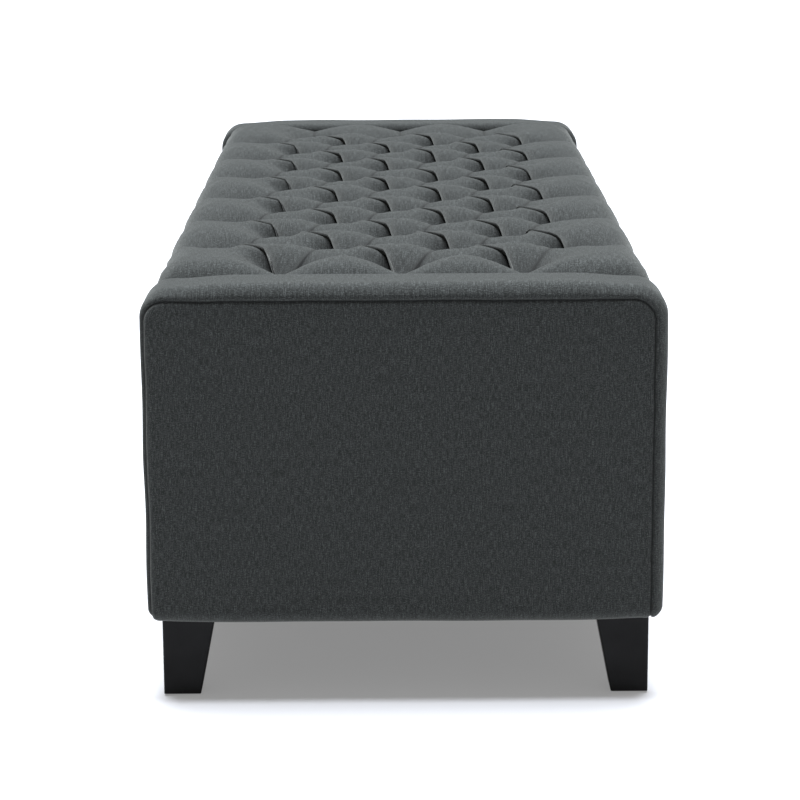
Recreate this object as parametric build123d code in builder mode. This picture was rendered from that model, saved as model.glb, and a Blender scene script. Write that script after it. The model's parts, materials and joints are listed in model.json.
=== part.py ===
"""Upholstered storage bench: a padded box between two padded ends, with a deep-tufted lid hinged at the back.

Millimetres. X runs along the bench, Y across it with the hinges at +Y, and Z up.
The origin is on the floor, under the centre of the bench.
"""

import os

from build123d import *

# ---- Overall sizes
overall_length = 1270  # along X, over both padded ends
overall_width = 495  # along Y, over the padded ends
end_height = 407  # floor to the top of the padded ends
body_clearance = 84  # floor to the underside of the upholstered body

# ---- Upholstery
fabric = 1.5  # woven cover, with its backing
liner = 1.0  # non-woven lining cloth
flap = 30  # cover turned in and stapled under a board

# ---- Padded ends
end_thickness = 60
end_top_radius = 20  # upper corners, seen from the end
end_foot_radius = 9  # lower corners, seen from the end
end_face_radius = 8  # cushioned edge round the outer face, smaller than the two above
end_edge_foam = 10  # foam on the top and on both edges of the frame
panel_thickness = 3  # hardboard skins of the end frame
timber_width = 45  # timbers of the end frame, seen from the end
timber_thickness = 36

# ---- Rails, the long walls of the box
rail_setback = 7.5  # how far the ends stand proud of the rails
rail_board = 15
rail_foam = 8
return_depth = 30  # rail cover turned down inside the box
frame_screw_length = 72
frame_screw_radius = 2.5
frame_screw_inset = 30  # from the edge of the post timber to a screw

# ---- Box floor
floor_board = 9
cleat_width = 20
cleat_height = 24.5
batten_count = 3
batten_width = 40
lining_drop = 5.5  # top of the lining below the top of the rails
small_screw_radius = 2
cleat_screw_length = 30
floor_screw_length = 22

# ---- Lid
lid_crown = 5  # how far the lid stands above the padded ends
lid_end_gap = 2  # between the lid and each padded end
lid_side_setback = 4.5  # lid narrower than the ends, each side
lid_seat_gap = 0.5  # under the lid when it is shut
lid_foam = 62  # foam above the lid board
lid_board = 15
lid_edge_foam = 15.5  # foam round the edges of the lid board
lid_top_radius = 20
lid_corner_radius = 12

# ---- Tufting: two grids of tufts, the second in the middles of the first
tuft_rows = 7
tufts_per_row = 3
tuft_end_margin = 78  # lid end to the first row of tufts
tuft_side_margin = 67.5  # lid side to the outermost tufts
tuft_depth = 27  # lid crown down to the top of a tuft button
tuft_hole_radius = 11
tuft_button_radius = 8
tuft_button_height = 4
twine_radius = 1.25
twine_hole_radius = 2
washer_radius = 7
washer_thickness = 1.5
washer_recess = 2.5

# ---- Hinges
hinge_offset = 1.5  # hinge line outside the back of the rail
hinge_length = 100
hinge_end_distance = 243  # lid end to the middle of a hinge
hinge_pin_radius = 3
hinge_bore_clearance = 0.05
knuckle_count = 5
knuckle_gap = 0.4
leaf_thickness = 2
leaf_gap = 0.6  # between a leaf and the other leaf's knuckles
lid_leaf_width = 46
pin_head_radius = 4.5
pin_head_height = 1.5
hinge_screw_pitch = 35
hinge_screw_count = 3
hinge_screw_radius = 1.8
hinge_screw_length = 13
lid_screw_inset = 12  # lid board edge to the screws of the hinge leaf
hinge_pocket_room = 4  # pocket in the upholstery, beyond each end of a hinge

# ---- Legs
leg_top = 52
leg_foot = 36
leg_edge_radius = 2
leg_end_inset = 23  # from the outer face of the padded end
leg_side_inset = 12  # from the side of the padded end
glide_radius = 11
glide_thickness = 2
glide_stem_radius = 3
glide_stem_length = 9
bolt_radius = 4
bolt_in_leg = 30
bolt_in_frame = 24
insert_radius = 6.5
insert_length = 20

clearance = 0.1  # radial, for screws, bolts and stems in their holes

# ---- Places worked out from the sizes
half_length = overall_length / 2
half_width = overall_width / 2
end_inner = half_length - end_thickness  # inner face of a padded end
core_inner = end_inner + fabric
frame_inner = core_inner + panel_thickness
frame_outer = frame_inner + timber_thickness
core_outer = frame_outer + panel_thickness
frame_middle = (frame_inner + frame_outer) / 2
core_bottom = body_clearance + fabric
core_top = end_height - fabric - end_edge_foam
core_half_width = half_width - fabric - end_edge_foam

lid_top = end_height + lid_crown
lid_board_top = lid_top - fabric - lid_foam
lid_board_bottom = lid_board_top - lid_board
lid_bottom = lid_board_bottom - fabric
lid_half_length = end_inner - lid_end_gap
lid_half_width = half_width - lid_side_setback
lid_board_half_length = lid_half_length - fabric - lid_edge_foam
lid_board_half_width = lid_half_width - fabric - lid_edge_foam

rail_face = half_width - rail_setback
rail_top = lid_bottom - lid_seat_gap
rail_board_top = rail_top - fabric - rail_foam
rail_board_outer = rail_face - fabric - rail_foam
rail_board_inner = rail_board_outer - rail_board
rail_board_middle = (rail_board_outer + rail_board_inner) / 2

floor_bottom = core_bottom + cleat_height
floor_top = floor_bottom + floor_board
cleat_inner = rail_board_inner - cleat_width
lining_half_width = rail_board_inner - fabric
lining_top = rail_top - lining_drop

tuft_pitch_x = 2 * (lid_half_length - tuft_end_margin) / (tuft_rows - 1)
tuft_pitch_y = 2 * (lid_half_width - tuft_side_margin) / tufts_per_row
tuft_button_top = lid_top - tuft_depth

hinge_y = rail_face + hinge_offset
hinge_z = (rail_board_top + lid_board_bottom) / 2
knuckle_radius = (lid_board_bottom - rail_board_top) / 2
hinge_x = lid_half_length - hinge_end_distance
pocket_half_length = hinge_length / 2 + hinge_pocket_room
pocket_floor = rail_board_top - leaf_gap
pocket_roof = lid_board_bottom + 2 * leaf_gap

leg_outer_x = half_length - leg_end_inset
leg_outer_y = half_width - leg_side_inset
leg_bolt_y = leg_outer_y - leg_top / 2
glide_x = leg_outer_x - leg_foot / 2
glide_y = leg_outer_y - leg_foot / 2

batten_pitch = 2 * core_inner / (batten_count + 1)
post_bottom = core_bottom + timber_width
post_top = core_top - timber_width
frame_screw_heights = (post_bottom + frame_screw_inset, rail_board_top - frame_screw_inset)

os.makedirs("parts", exist_ok=True)


def save(piece, label):
    """Names a finished piece and writes its STEP file."""
    piece.part.label = label
    export_step(piece.part, f"parts/{label}.step")


def save_both_ends(right_piece, label):
    """Writes a piece of the right-hand end and its mirror image in the left-hand end."""
    save(right_piece, f"right_{label}")
    with BuildPart() as left_piece:
        mirror(right_piece.part, about=Plane.YZ)
    save(left_piece, f"left_{label}")


def save_front_and_back(back_piece, label):
    """Writes a piece of the back and its mirror image at the front."""
    save(back_piece, f"back_{label}")
    with BuildPart() as front_piece:
        mirror(back_piece.part, about=Plane.XZ)
    save(front_piece, f"front_{label}")


def block(x, y, z, mode=Mode.ADD):
    """A square block between its limits on each axis, added to or cut from the part being built."""
    with BuildSketch(Plane.XY.offset(z[0])) as outline:
        with Locations(((x[0] + x[1]) / 2, (y[0] + y[1]) / 2)):
            Rectangle(x[1] - x[0], y[1] - y[0])
    extrude(outline.sketch, amount=z[1] - z[0], mode=mode)


def circles(plane, places, radius):
    """A sketch of equal circles on the plane."""
    with BuildSketch(plane) as sketch:
        with Locations(*places):
            Circle(radius)
    return sketch.sketch


def screw(plane, places, radius, length):
    """Countersunk screws with flat heads on the plane and shanks running against its normal."""
    extrude(circles(plane, places, radius), amount=-length)
    extrude(circles(plane, places, 2 * radius), amount=-radius, taper=45)


def screw_holes(plane, places, radius, depth):
    """The holes that those screws need in a piece whose face lies on the plane."""
    extrude(circles(plane, places, radius + clearance), amount=-depth, mode=Mode.SUBTRACT)


def sunk_screw_holes(plane, places, radius, depth):
    """Screw holes with a countersink for the heads."""
    screw_holes(plane, places, radius, depth)
    rims = circles(plane, places, 2 * radius + clearance)
    extrude(rims, amount=-radius - clearance, taper=45, mode=Mode.SUBTRACT)


def cut_hinge_pockets(y, z):
    """Clears the upholstery of the piece being built away from both hinges."""
    for sign in (-1, 1):
        middle = sign * hinge_x
        block((middle - pocket_half_length, middle + pocket_half_length), y, z, Mode.SUBTRACT)


# ---- Padded ends -----------------------------------------------------------------------------------
end_screw_places = [(side * rail_board_middle, height) for side in (-1, 1) for height in frame_screw_heights]
leg_bolt_places = [(frame_middle, side * leg_bolt_y) for side in (-1, 1)]


def end_slab(inset):
    """The right-hand padded end as one cushion-edged block, smaller by the inset on every side."""
    with BuildPart() as slab:
        with BuildSketch(Plane.YZ.offset(end_inner + inset)) as outline:
            with Locations((0, (end_height + body_clearance) / 2)):
                Rectangle(overall_width - 2 * inset, end_height - body_clearance - 2 * inset)
            corners = outline.vertices().group_by(Axis.Y)
            fillet(corners[-1], end_top_radius - inset)
            fillet(corners[0], end_foot_radius - inset)
        extrude(amount=end_thickness - 2 * inset)
        fillet(slab.faces().sort_by(Axis.X)[-1].edges(), end_face_radius - inset)
    return slab.part


with BuildPart() as end_bottom_timber:
    block((frame_inner, frame_outer), (-core_half_width, core_half_width), (core_bottom, post_bottom))
    with BuildSketch(Plane.XY.offset(core_bottom)):
        with Locations(*leg_bolt_places):
            Circle(insert_radius + clearance)
    extrude(amount=bolt_in_frame + clearance, mode=Mode.SUBTRACT)
save_both_ends(end_bottom_timber, "end_bottom_timber")

with BuildPart() as end_top_timber:
    block((frame_inner, frame_outer), (-core_half_width, core_half_width), (post_top, core_top))
save_both_ends(end_top_timber, "end_top_timber")

for name, side in (("front", -1), ("back", 1)):
    with BuildPart() as end_post:
        edges = sorted((side * core_half_width, side * (core_half_width - timber_width)))
        block((frame_inner, frame_outer), edges, (post_bottom, post_top))
        places = [(y, z) for y, z in end_screw_places if y * side > 0]
        sunk_screw_holes(Plane.YZ.offset(frame_outer), places, frame_screw_radius, frame_screw_length)
    save_both_ends(end_post, f"end_{name}_post")

with BuildPart() as end_inner_panel:
    block((core_inner, frame_inner), (-core_half_width, core_half_width), (core_bottom, core_top))
    screw_holes(Plane.YZ.offset(frame_outer), end_screw_places, frame_screw_radius, frame_screw_length)
save_both_ends(end_inner_panel, "end_inner_panel")

with BuildPart() as end_outer_panel:
    block((frame_outer, core_outer), (-core_half_width, core_half_width), (core_bottom, core_top))
save_both_ends(end_outer_panel, "end_outer_panel")

with BuildPart() as end_foam:
    add(end_slab(fabric))
    block((core_inner, core_outer), (-core_half_width, core_half_width), (core_bottom, core_top), Mode.SUBTRACT)
save_both_ends(end_foam, "end_foam")

with BuildPart() as end_cover:
    add(end_slab(0))
    add(end_slab(fabric), mode=Mode.SUBTRACT)
    block((end_inner, core_inner), (-rail_face, rail_face), (body_clearance, rail_top), Mode.SUBTRACT)
    with BuildSketch(Plane.XY.offset(body_clearance)):
        with Locations(*leg_bolt_places):
            Circle(bolt_radius + clearance)
    extrude(amount=fabric, mode=Mode.SUBTRACT)
save_both_ends(end_cover, "end_cover")

with BuildPart() as end_frame_screws:
    screw(Plane.YZ.offset(frame_outer), end_screw_places, frame_screw_radius, frame_screw_length)
save_both_ends(end_frame_screws, "end_frame_screws")

# ---- Rails -----------------------------------------------------------------------------------------
cleat_screw_places = [
    ((i - batten_count / 2) * batten_pitch, core_bottom + cleat_height / 2) for i in range(batten_count + 1)
]
hinge_screw_offsets = [(i - (hinge_screw_count - 1) / 2) * hinge_screw_pitch for i in range(hinge_screw_count)]
rail_leaf_screw_places = [
    (side * hinge_x + offset, rail_board_middle) for side in (-1, 1) for offset in hinge_screw_offsets
]
cleat_face = Plane(origin=(0, cleat_inner, 0), x_dir=(1, 0, 0), z_dir=(0, -1, 0))


def rail_section(outer, inner, bottom, top):
    """A solid bar along the box, between those limits across the bench and in height."""
    block((-core_inner, core_inner), (inner, outer), (bottom, top))


def cut_frame_screw_holes():
    """Pilot holes for the frame screws in both ends of a rail board."""
    places = [(rail_board_middle, height) for height in frame_screw_heights]
    depth = frame_screw_length - (frame_outer - core_inner) + clearance
    for end, direction in ((core_inner, -1), (-core_inner, 1)):
        holes = circles(Plane.YZ.offset(end), places, frame_screw_radius + clearance)
        extrude(holes, amount=direction * depth, mode=Mode.SUBTRACT)


with BuildPart() as back_rail_board:
    rail_section(rail_board_outer, rail_board_inner, core_bottom, rail_board_top)
    cut_frame_screw_holes()
    screw_holes(cleat_face, cleat_screw_places, small_screw_radius, cleat_screw_length + clearance)
with BuildPart() as front_rail_board:
    mirror(back_rail_board.part, about=Plane.XZ)
save(front_rail_board, "front_rail_board")
with BuildPart() as drilled_back_rail:
    add(back_rail_board.part)
    hole_depth = hinge_screw_length - leaf_thickness + clearance
    screw_holes(Plane.XY.offset(rail_board_top), rail_leaf_screw_places, hinge_screw_radius, hole_depth)
save(drilled_back_rail, "back_rail_board")


def rail_pad():
    """Foam down the outside of a rail board and over its top edge."""
    rail_section(rail_face - fabric, rail_board_outer, core_bottom, rail_top - fabric)
    rail_section(rail_board_outer, rail_board_inner, rail_board_top, rail_top - fabric)


def rail_skin():
    """Cover round a rail: down the outside, over the top, and turned in at the top and the bottom."""
    rail_section(rail_face, rail_face - fabric, body_clearance, rail_top)
    rail_section(rail_face - fabric, lining_half_width, rail_top - fabric, rail_top)
    rail_section(rail_board_inner, lining_half_width, rail_top - return_depth, rail_top - fabric)
    rail_section(rail_face - fabric, rail_board_inner, body_clearance, core_bottom)


for label, rail_upholstery in (("rail_foam", rail_pad), ("rail_cover", rail_skin)):
    with BuildPart() as back_piece:
        rail_upholstery()
    with BuildPart() as front_piece:
        mirror(back_piece.part, about=Plane.XZ)
    save(front_piece, f"front_{label}")
    with BuildPart() as pocketed_piece:
        add(back_piece.part)
        cut_hinge_pockets((lining_half_width, rail_face), (rail_board_top, rail_top))
        cut_hinge_pockets((rail_board_outer, rail_face), (pocket_floor, rail_board_top))
    save(pocketed_piece, f"back_{label}")

# ---- Box floor and lining --------------------------------------------------------------------------
floor_screw_places = [(x, (rail_board_inner + cleat_inner) / 2) for x in (-batten_pitch, 0, batten_pitch)]
floor_screw_places += [(x, -y) for x, y in floor_screw_places]
floor_plane = Plane.XY.offset(floor_top)

with BuildPart() as floor_cleat:
    rail_section(rail_board_inner, cleat_inner, core_bottom, floor_bottom)
    sunk_screw_holes(cleat_face, cleat_screw_places, small_screw_radius, cleat_screw_length + clearance)
    screw_holes(floor_plane, floor_screw_places, small_screw_radius, floor_screw_length + clearance)
save_front_and_back(floor_cleat, "floor_cleat")

with BuildPart() as cleat_screws:
    screw(cleat_face, cleat_screw_places, small_screw_radius, cleat_screw_length)
save_front_and_back(cleat_screws, "cleat_screws")

for i in range(batten_count):
    middle = (i - (batten_count - 1) / 2) * batten_pitch
    with BuildPart() as batten:
        across = (middle - batten_width / 2, middle + batten_width / 2)
        block(across, (-cleat_inner, cleat_inner), (core_bottom, floor_bottom))
    save(batten, f"floor_batten_{i + 1}")

with BuildPart() as floor:
    block((-core_inner, core_inner), (-rail_board_inner, rail_board_inner), (floor_bottom, floor_top))
    sunk_screw_holes(floor_plane, floor_screw_places, small_screw_radius, floor_screw_length)
save(floor, "floor_board")

with BuildPart() as floor_screws:
    screw(floor_plane, floor_screw_places, small_screw_radius, floor_screw_length)
save(floor_screws, "floor_screws")

with BuildPart() as lining:
    block((-core_inner, core_inner), (-lining_half_width, lining_half_width), (floor_top, lining_top))
    offset(amount=-liner, openings=lining.faces().sort_by(Axis.Z)[-1])
save(lining, "storage_lining")

with BuildPart() as dust_cover:
    block((-end_inner, end_inner), (-rail_board_inner, rail_board_inner), (core_bottom - liner, core_bottom))
save(dust_cover, "dust_cover")

# ---- Lid -------------------------------------------------------------------------------------------
lid_leaf_screw_y = lid_board_half_width - lid_screw_inset
lid_leaf_screw_places = [
    (side * hinge_x + offset, lid_leaf_screw_y) for side in (-1, 1) for offset in hinge_screw_offsets
]
tuft_grids = (
    GridLocations(tuft_pitch_x, tuft_pitch_y, tuft_rows, tufts_per_row),
    GridLocations(tuft_pitch_x, tuft_pitch_y, tuft_rows - 1, tufts_per_row + 1),
)
tuft_places = [spot.position for grid in tuft_grids for spot in grid.locations]
lid_underside = Plane(origin=(0, 0, lid_board_bottom), x_dir=(1, 0, 0), z_dir=(0, 0, -1))
flipped = [(x, -y) for x, y in lid_leaf_screw_places]


def lid_cushion(inset):
    """The whole padded lid as one block with rounded edges, smaller by the inset on every side."""
    with BuildPart() as cushion:
        with BuildSketch(Plane.XY.offset(lid_bottom + inset)):
            RectangleRounded(
                2 * (lid_half_length - inset), 2 * (lid_half_width - inset), lid_corner_radius - inset
            )
        extrude(amount=lid_top - lid_bottom - 2 * inset)
        fillet(cushion.faces().sort_by(Axis.Z)[-1].edges(), lid_top_radius - inset)
    return cushion.part


def discs(radius, bottom, top):
    """One upright disc, or twine, at every tuft."""
    extrude(circles(Plane.XY.offset(bottom), tuft_places, radius), amount=top - bottom)


with BuildPart() as lid_panel:
    block(
        (-lid_board_half_length, lid_board_half_length),
        (-lid_board_half_width, lid_board_half_width),
        (lid_board_bottom, lid_board_top),
    )
    with Locations(lid_underside):
        with Locations(*[(spot.X, -spot.Y) for spot in tuft_places]):
            CounterBoreHole(twine_hole_radius, washer_radius + clearance, washer_recess)
    screw_holes(lid_underside, flipped, hinge_screw_radius, hinge_screw_length - leaf_thickness + clearance)
save(lid_panel, "lid_board")

with BuildPart() as lid_padding:
    add(lid_cushion(fabric))
    block(
        (-lid_board_half_length, lid_board_half_length),
        (-lid_board_half_width, lid_board_half_width),
        (lid_board_bottom, lid_board_top),
        Mode.SUBTRACT,
    )
    with Locations(Plane.XY.offset(lid_top)):
        with Locations(*tuft_places):
            Hole(tuft_hole_radius, depth=lid_top - lid_board_top)
    cut_hinge_pockets((lid_board_half_width, lid_half_width), (lid_board_bottom, pocket_roof))
save(lid_padding, "lid_foam")

with BuildPart() as lid_skin:
    add(lid_cushion(0))
    add(lid_cushion(fabric), mode=Mode.SUBTRACT)
    block(
        (flap - lid_board_half_length, lid_board_half_length - flap),
        (flap - lid_board_half_width, lid_board_half_width - flap),
        (lid_bottom, lid_board_bottom),
        Mode.SUBTRACT,
    )
    cut_hinge_pockets((lid_board_half_width - flap, lid_half_width), (lid_bottom, pocket_roof))
save(lid_skin, "lid_cover")

with BuildPart() as lid_lining:
    block(
        (flap - lid_board_half_length, lid_board_half_length - flap),
        (flap - lid_board_half_width, lid_board_half_width - flap),
        (lid_board_bottom - liner, lid_board_bottom),
    )
    cut_hinge_pockets((hinge_y - lid_leaf_width - leaf_gap, hinge_y), (lid_bottom, pocket_roof))
save(lid_lining, "lid_lining")

with BuildPart() as tuft_buttons:
    discs(tuft_button_radius, tuft_button_top - tuft_button_height, tuft_button_top)
save(tuft_buttons, "tuft_buttons")

with BuildPart() as tuft_twines:
    discs(twine_radius, lid_board_bottom + washer_recess, tuft_button_top - tuft_button_height)
save(tuft_twines, "tuft_twines")

with BuildPart() as tuft_washers:
    recess_top = lid_board_bottom + washer_recess
    discs(washer_radius, recess_top - washer_thickness, recess_top)
save(tuft_washers, "tuft_washers")

# ---- Hinges ----------------------------------------------------------------------------------------
knuckle_length = hinge_length / knuckle_count
bore_radius = hinge_pin_radius + hinge_bore_clearance


def hinge_leaf(middle, width, top_leaf):
    """One leaf of a hinge, with every other knuckle. The top leaf takes the even ones, under the lid."""
    level = hinge_z + (knuckle_radius - leaf_thickness if top_leaf else -knuckle_radius)
    plate_edge = hinge_y - knuckle_radius - leaf_gap
    ends = (middle - hinge_length / 2, middle + hinge_length / 2)
    with BuildPart() as leaf:
        block(ends, (hinge_y - width, plate_edge), (level, level + leaf_thickness))
        for i in range(1 if top_leaf else 0, knuckle_count, 2):
            start = ends[0] + i * knuckle_length + knuckle_gap / 2
            with BuildSketch(Plane.YZ.offset(start)):
                with Locations((hinge_y, hinge_z)):
                    Circle(knuckle_radius)
                with Locations(((plate_edge + hinge_y) / 2, level + leaf_thickness / 2)):
                    Rectangle(hinge_y - plate_edge, leaf_thickness)
                with Locations((hinge_y, hinge_z)):
                    Circle(bore_radius, mode=Mode.SUBTRACT)
            extrude(amount=knuckle_length - knuckle_gap)
        if top_leaf:
            face = Plane(origin=(0, 0, level), x_dir=(1, 0, 0), z_dir=(0, 0, -1))
            places = [(middle + offset, -lid_leaf_screw_y) for offset in hinge_screw_offsets]
        else:
            face = Plane.XY.offset(level + leaf_thickness)
            places = [(middle + offset, rail_board_middle) for offset in hinge_screw_offsets]
        sunk_screw_holes(face, places, hinge_screw_radius, leaf_thickness)
    return leaf


rail_leaf_width = hinge_y - rail_board_inner - leaf_gap
for name, side in (("left", -1), ("right", 1)):
    save(hinge_leaf(side * hinge_x, rail_leaf_width, False), f"{name}_hinge_rail_leaf")
    save(hinge_leaf(side * hinge_x, lid_leaf_width, True), f"{name}_hinge_lid_leaf")
    with BuildPart() as hinge_pin:
        with BuildSketch(Plane.YZ.offset(side * hinge_x - hinge_length / 2)):
            with Locations((hinge_y, hinge_z)):
                Circle(hinge_pin_radius)
        extrude(amount=hinge_length)
        for end, direction in ((hinge_length / 2, 1), (-hinge_length / 2, -1)):
            with BuildSketch(Plane.YZ.offset(side * hinge_x + end)):
                with Locations((hinge_y, hinge_z)):
                    Circle(pin_head_radius)
            extrude(amount=direction * pin_head_height)
    save(hinge_pin, f"{name}_hinge_pin")

with BuildPart() as rail_leaf_screws:
    leaf_face = Plane.XY.offset(rail_board_top + leaf_thickness)
    screw(leaf_face, rail_leaf_screw_places, hinge_screw_radius, hinge_screw_length)
save(rail_leaf_screws, "hinge_rail_screws")

with BuildPart() as lid_leaf_screws:
    leaf_face = Plane(
        origin=(0, 0, lid_board_bottom - leaf_thickness), x_dir=(1, 0, 0), z_dir=(0, 0, -1)
    )
    screw(leaf_face, flipped, hinge_screw_radius, hinge_screw_length)
save(lid_leaf_screws, "hinge_lid_screws")

# ---- Legs ------------------------------------------------------------------------------------------
for side_name, side in (("left", -1), ("right", 1)):
    for row_name, row in (("front", -1), ("back", 1)):
        with BuildPart() as leg:
            for height, size in ((glide_thickness, leg_foot), (body_clearance, leg_top)):
                with BuildSketch(Plane.XY.offset(height)):
                    with Locations((side * (leg_outer_x - size / 2), row * (leg_outer_y - size / 2))):
                        Rectangle(size, size)
            loft()
            uprights = leg.faces().sort_by(Axis.Z)[1:-1].edges().group_by(Axis.Z)
            fillet(uprights[1], leg_edge_radius)
            with BuildSketch(Plane.XY.offset(body_clearance)):
                with Locations((side * frame_middle, row * leg_bolt_y)):
                    Circle(bolt_radius + clearance)
            extrude(amount=-bolt_in_leg - clearance, mode=Mode.SUBTRACT)
            with BuildSketch(Plane.XY.offset(glide_thickness)):
                with Locations((side * glide_x, row * glide_y)):
                    Circle(glide_stem_radius + clearance)
            extrude(amount=glide_stem_length + clearance, mode=Mode.SUBTRACT)
        save(leg, f"{row_name}_{side_name}_leg")

with BuildPart() as glides:
    for height, radius in ((glide_thickness, glide_radius), (glide_thickness + glide_stem_length, glide_stem_radius)):
        with BuildSketch(Plane.XY):
            with GridLocations(2 * glide_x, 2 * glide_y, 2, 2):
                Circle(radius)
        extrude(amount=height)
save(glides, "leg_glides")

with BuildPart() as leg_bolts:
    with BuildSketch(Plane.XY.offset(body_clearance - bolt_in_leg)):
        with GridLocations(2 * frame_middle, 2 * leg_bolt_y, 2, 2):
            Circle(bolt_radius)
    extrude(amount=bolt_in_leg + fabric + bolt_in_frame)
save(leg_bolts, "leg_bolts")

with BuildPart() as leg_inserts:
    with BuildSketch(Plane.XY.offset(core_bottom)):
        with GridLocations(2 * frame_middle, 2 * leg_bolt_y, 2, 2):
            Circle(insert_radius)
            Circle(bolt_radius + clearance, mode=Mode.SUBTRACT)
    extrude(amount=insert_length)
save(leg_inserts, "leg_inserts")
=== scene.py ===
"""Looks of an upholstered storage bench: a tufted lid between two padded ends, on four tapered legs.

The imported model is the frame. Every soft piece is built over it here, and every other node gets its finish.
All lengths in the scene are metres. X runs along the bench, Y across it towards the hinges, Z up.
"""

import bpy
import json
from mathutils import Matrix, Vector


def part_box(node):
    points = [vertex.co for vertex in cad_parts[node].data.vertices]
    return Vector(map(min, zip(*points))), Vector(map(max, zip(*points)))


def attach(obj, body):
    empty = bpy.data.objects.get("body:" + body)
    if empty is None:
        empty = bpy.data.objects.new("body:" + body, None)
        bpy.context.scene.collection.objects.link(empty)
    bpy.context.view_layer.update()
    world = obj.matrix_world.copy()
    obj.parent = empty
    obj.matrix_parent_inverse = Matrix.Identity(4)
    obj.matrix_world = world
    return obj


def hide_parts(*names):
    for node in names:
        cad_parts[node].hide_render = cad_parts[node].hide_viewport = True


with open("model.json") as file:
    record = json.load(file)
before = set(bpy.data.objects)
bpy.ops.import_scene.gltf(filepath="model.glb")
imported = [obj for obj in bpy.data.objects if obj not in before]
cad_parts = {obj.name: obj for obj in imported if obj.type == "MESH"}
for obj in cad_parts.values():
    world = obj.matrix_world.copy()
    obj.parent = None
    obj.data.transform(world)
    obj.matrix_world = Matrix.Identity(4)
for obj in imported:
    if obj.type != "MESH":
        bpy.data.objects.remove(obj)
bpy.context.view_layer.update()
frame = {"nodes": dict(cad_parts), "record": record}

import json
import math

import bpy
import numpy as np
from bpy.props import FloatProperty, FloatVectorProperty, IntProperty, PointerProperty, StringProperty
from mathutils import Matrix

bl_info = {
    "name": "Tufted Storage Bench",
    "version": (1, 0, 0),
    "blender": (4, 5, 0),
    "location": "3D View > Sidebar > Bench",
    "description": "Builds the upholstery and finishes of a tufted storage bench over its CAD frame",
    "category": "Object",
}

MM = 0.001
# Pressure under the lid's cover in its cloth simulation, and the frames it runs for.
LID_PRESSURE = 16.0
CLOTH_FRAMES = 8
# Thickness of cloth that stays over the buttons hidden in the tufts.
BUTTON_COVER = 0.8 * MM


# ---- Sizes read from the frame -------------------------------------------------------------------------
def node_box(node):
    """Lowest and highest corners of a CAD node, as two arrays in metres."""
    low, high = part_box(node)
    return np.array(low), np.array(high)


def body_holding(node):
    """The name of the CAD body that holds a node."""
    return next(name for name, nodes in frame["record"]["behaviour"]["bodies"].items() if node in nodes)


# ---- Meshes --------------------------------------------------------------------------------------------
def make_object(name, verts, faces, uv=None, crease=None):
    """A smooth-shaded mesh object from arrays.

    uv holds each point's place on the flat cloth, and crease how much painted shade it gets for lying deep in a fold.
    """
    mesh = bpy.data.meshes.new(name)
    mesh.from_pydata([tuple(v) for v in verts], [], [tuple(int(i) for i in f) for f in faces])
    mesh.validate()
    loops = np.empty(len(mesh.loops), dtype=np.int32)
    mesh.loops.foreach_get("vertex_index", loops)
    if uv is not None:
        layer = mesh.uv_layers.new(name="cloth")
        layer.data.foreach_set("uv", np.asarray(uv, dtype=np.float32)[loops].ravel())
    if crease is not None:
        attribute = mesh.attributes.new("crease", "FLOAT", "POINT")
        attribute.data.foreach_set("value", np.asarray(crease, dtype=np.float32))
    mesh.polygons.foreach_set("use_smooth", np.ones(len(mesh.polygons), dtype=bool))
    mesh.update()
    obj = bpy.data.objects.new(name, mesh)
    bpy.context.scene.collection.objects.link(obj)
    return obj


def points_of(obj):
    """An object's vertices as an array."""
    flat = np.empty(len(obj.data.vertices) * 3)
    obj.data.vertices.foreach_get("co", flat)
    return flat.reshape(-1, 3)


def set_points(obj, points):
    """Moves an object's vertices to those of the array."""
    obj.data.vertices.foreach_set("co", np.asarray(points).ravel())
    obj.data.update()


def smoothstep(x, low, high):
    """0 up to low, 1 from high, and a smooth rise between them."""
    t = np.clip((x - low) / (high - low), 0, 1)
    return t * t * (3 - 2 * t)


# ---- Cloth wrapped over a rounded block ----------------------------------------------------------------
def wrap(flat, core, corner, edge, depth, foot, drop=0.0):
    """Lays points of a flat cloth over a rounded block.

    The block's top is at height 0. core is the half size of the part of the top that is square to the
    corners, as (low x, high x, low y, high y); corner is the radius in plan of each quadrant's corner,
    edge the radius of the top edges, depth the height of the block and foot the radius at its bottom.
    drop pushes each point into the block. Returns the points, with z as height.
    """
    x, y = flat[:, 0], flat[:, 1]
    corner = np.broadcast_to(corner, x.shape)
    qx = np.clip(x, core[0] + corner, core[1] - corner)
    qy = np.clip(y, core[2] + corner, core[3] - corner)
    ax, ay = np.abs(x - qx), np.abs(y - qy)
    out = np.maximum(ax, ay)
    safe = np.where(out > 0, out, 1)
    steep = np.where(ax >= ay, ay / safe, 2 - ax / safe) * math.pi / 4
    steep = np.where(ay == 0, 0.0, np.where(ax == 0, math.pi / 2, steep))
    nx, ny = np.cos(steep) * np.sign(x - qx), np.sin(steep) * np.sign(y - qy)
    flat_part = corner - edge
    wall = depth - edge - foot
    turn = np.clip(out - flat_part, 0, edge * math.pi / 2) / edge
    down = np.clip(out - flat_part - edge * math.pi / 2, 0, wall)
    under = np.clip(out - flat_part - edge * math.pi / 2 - wall, 0, foot * math.pi / 2) / foot
    inward = np.maximum(out - flat_part - edge * math.pi / 2 - wall - foot * math.pi / 2, 0)
    reach = np.where(out < flat_part, out, flat_part + edge * np.sin(turn))
    reach = reach - foot * (1 - np.cos(under)) - inward
    height = -edge * (1 - np.cos(turn)) - down - foot * np.sin(under)
    tilt = turn + under
    push_out, push_up = np.sin(tilt), np.cos(tilt)
    points = np.empty((len(x), 3))
    points[:, 0] = qx + nx * (reach - push_out * drop)
    points[:, 1] = qy + ny * (reach - push_out * drop)
    points[:, 2] = height - push_up * drop
    return points


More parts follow.
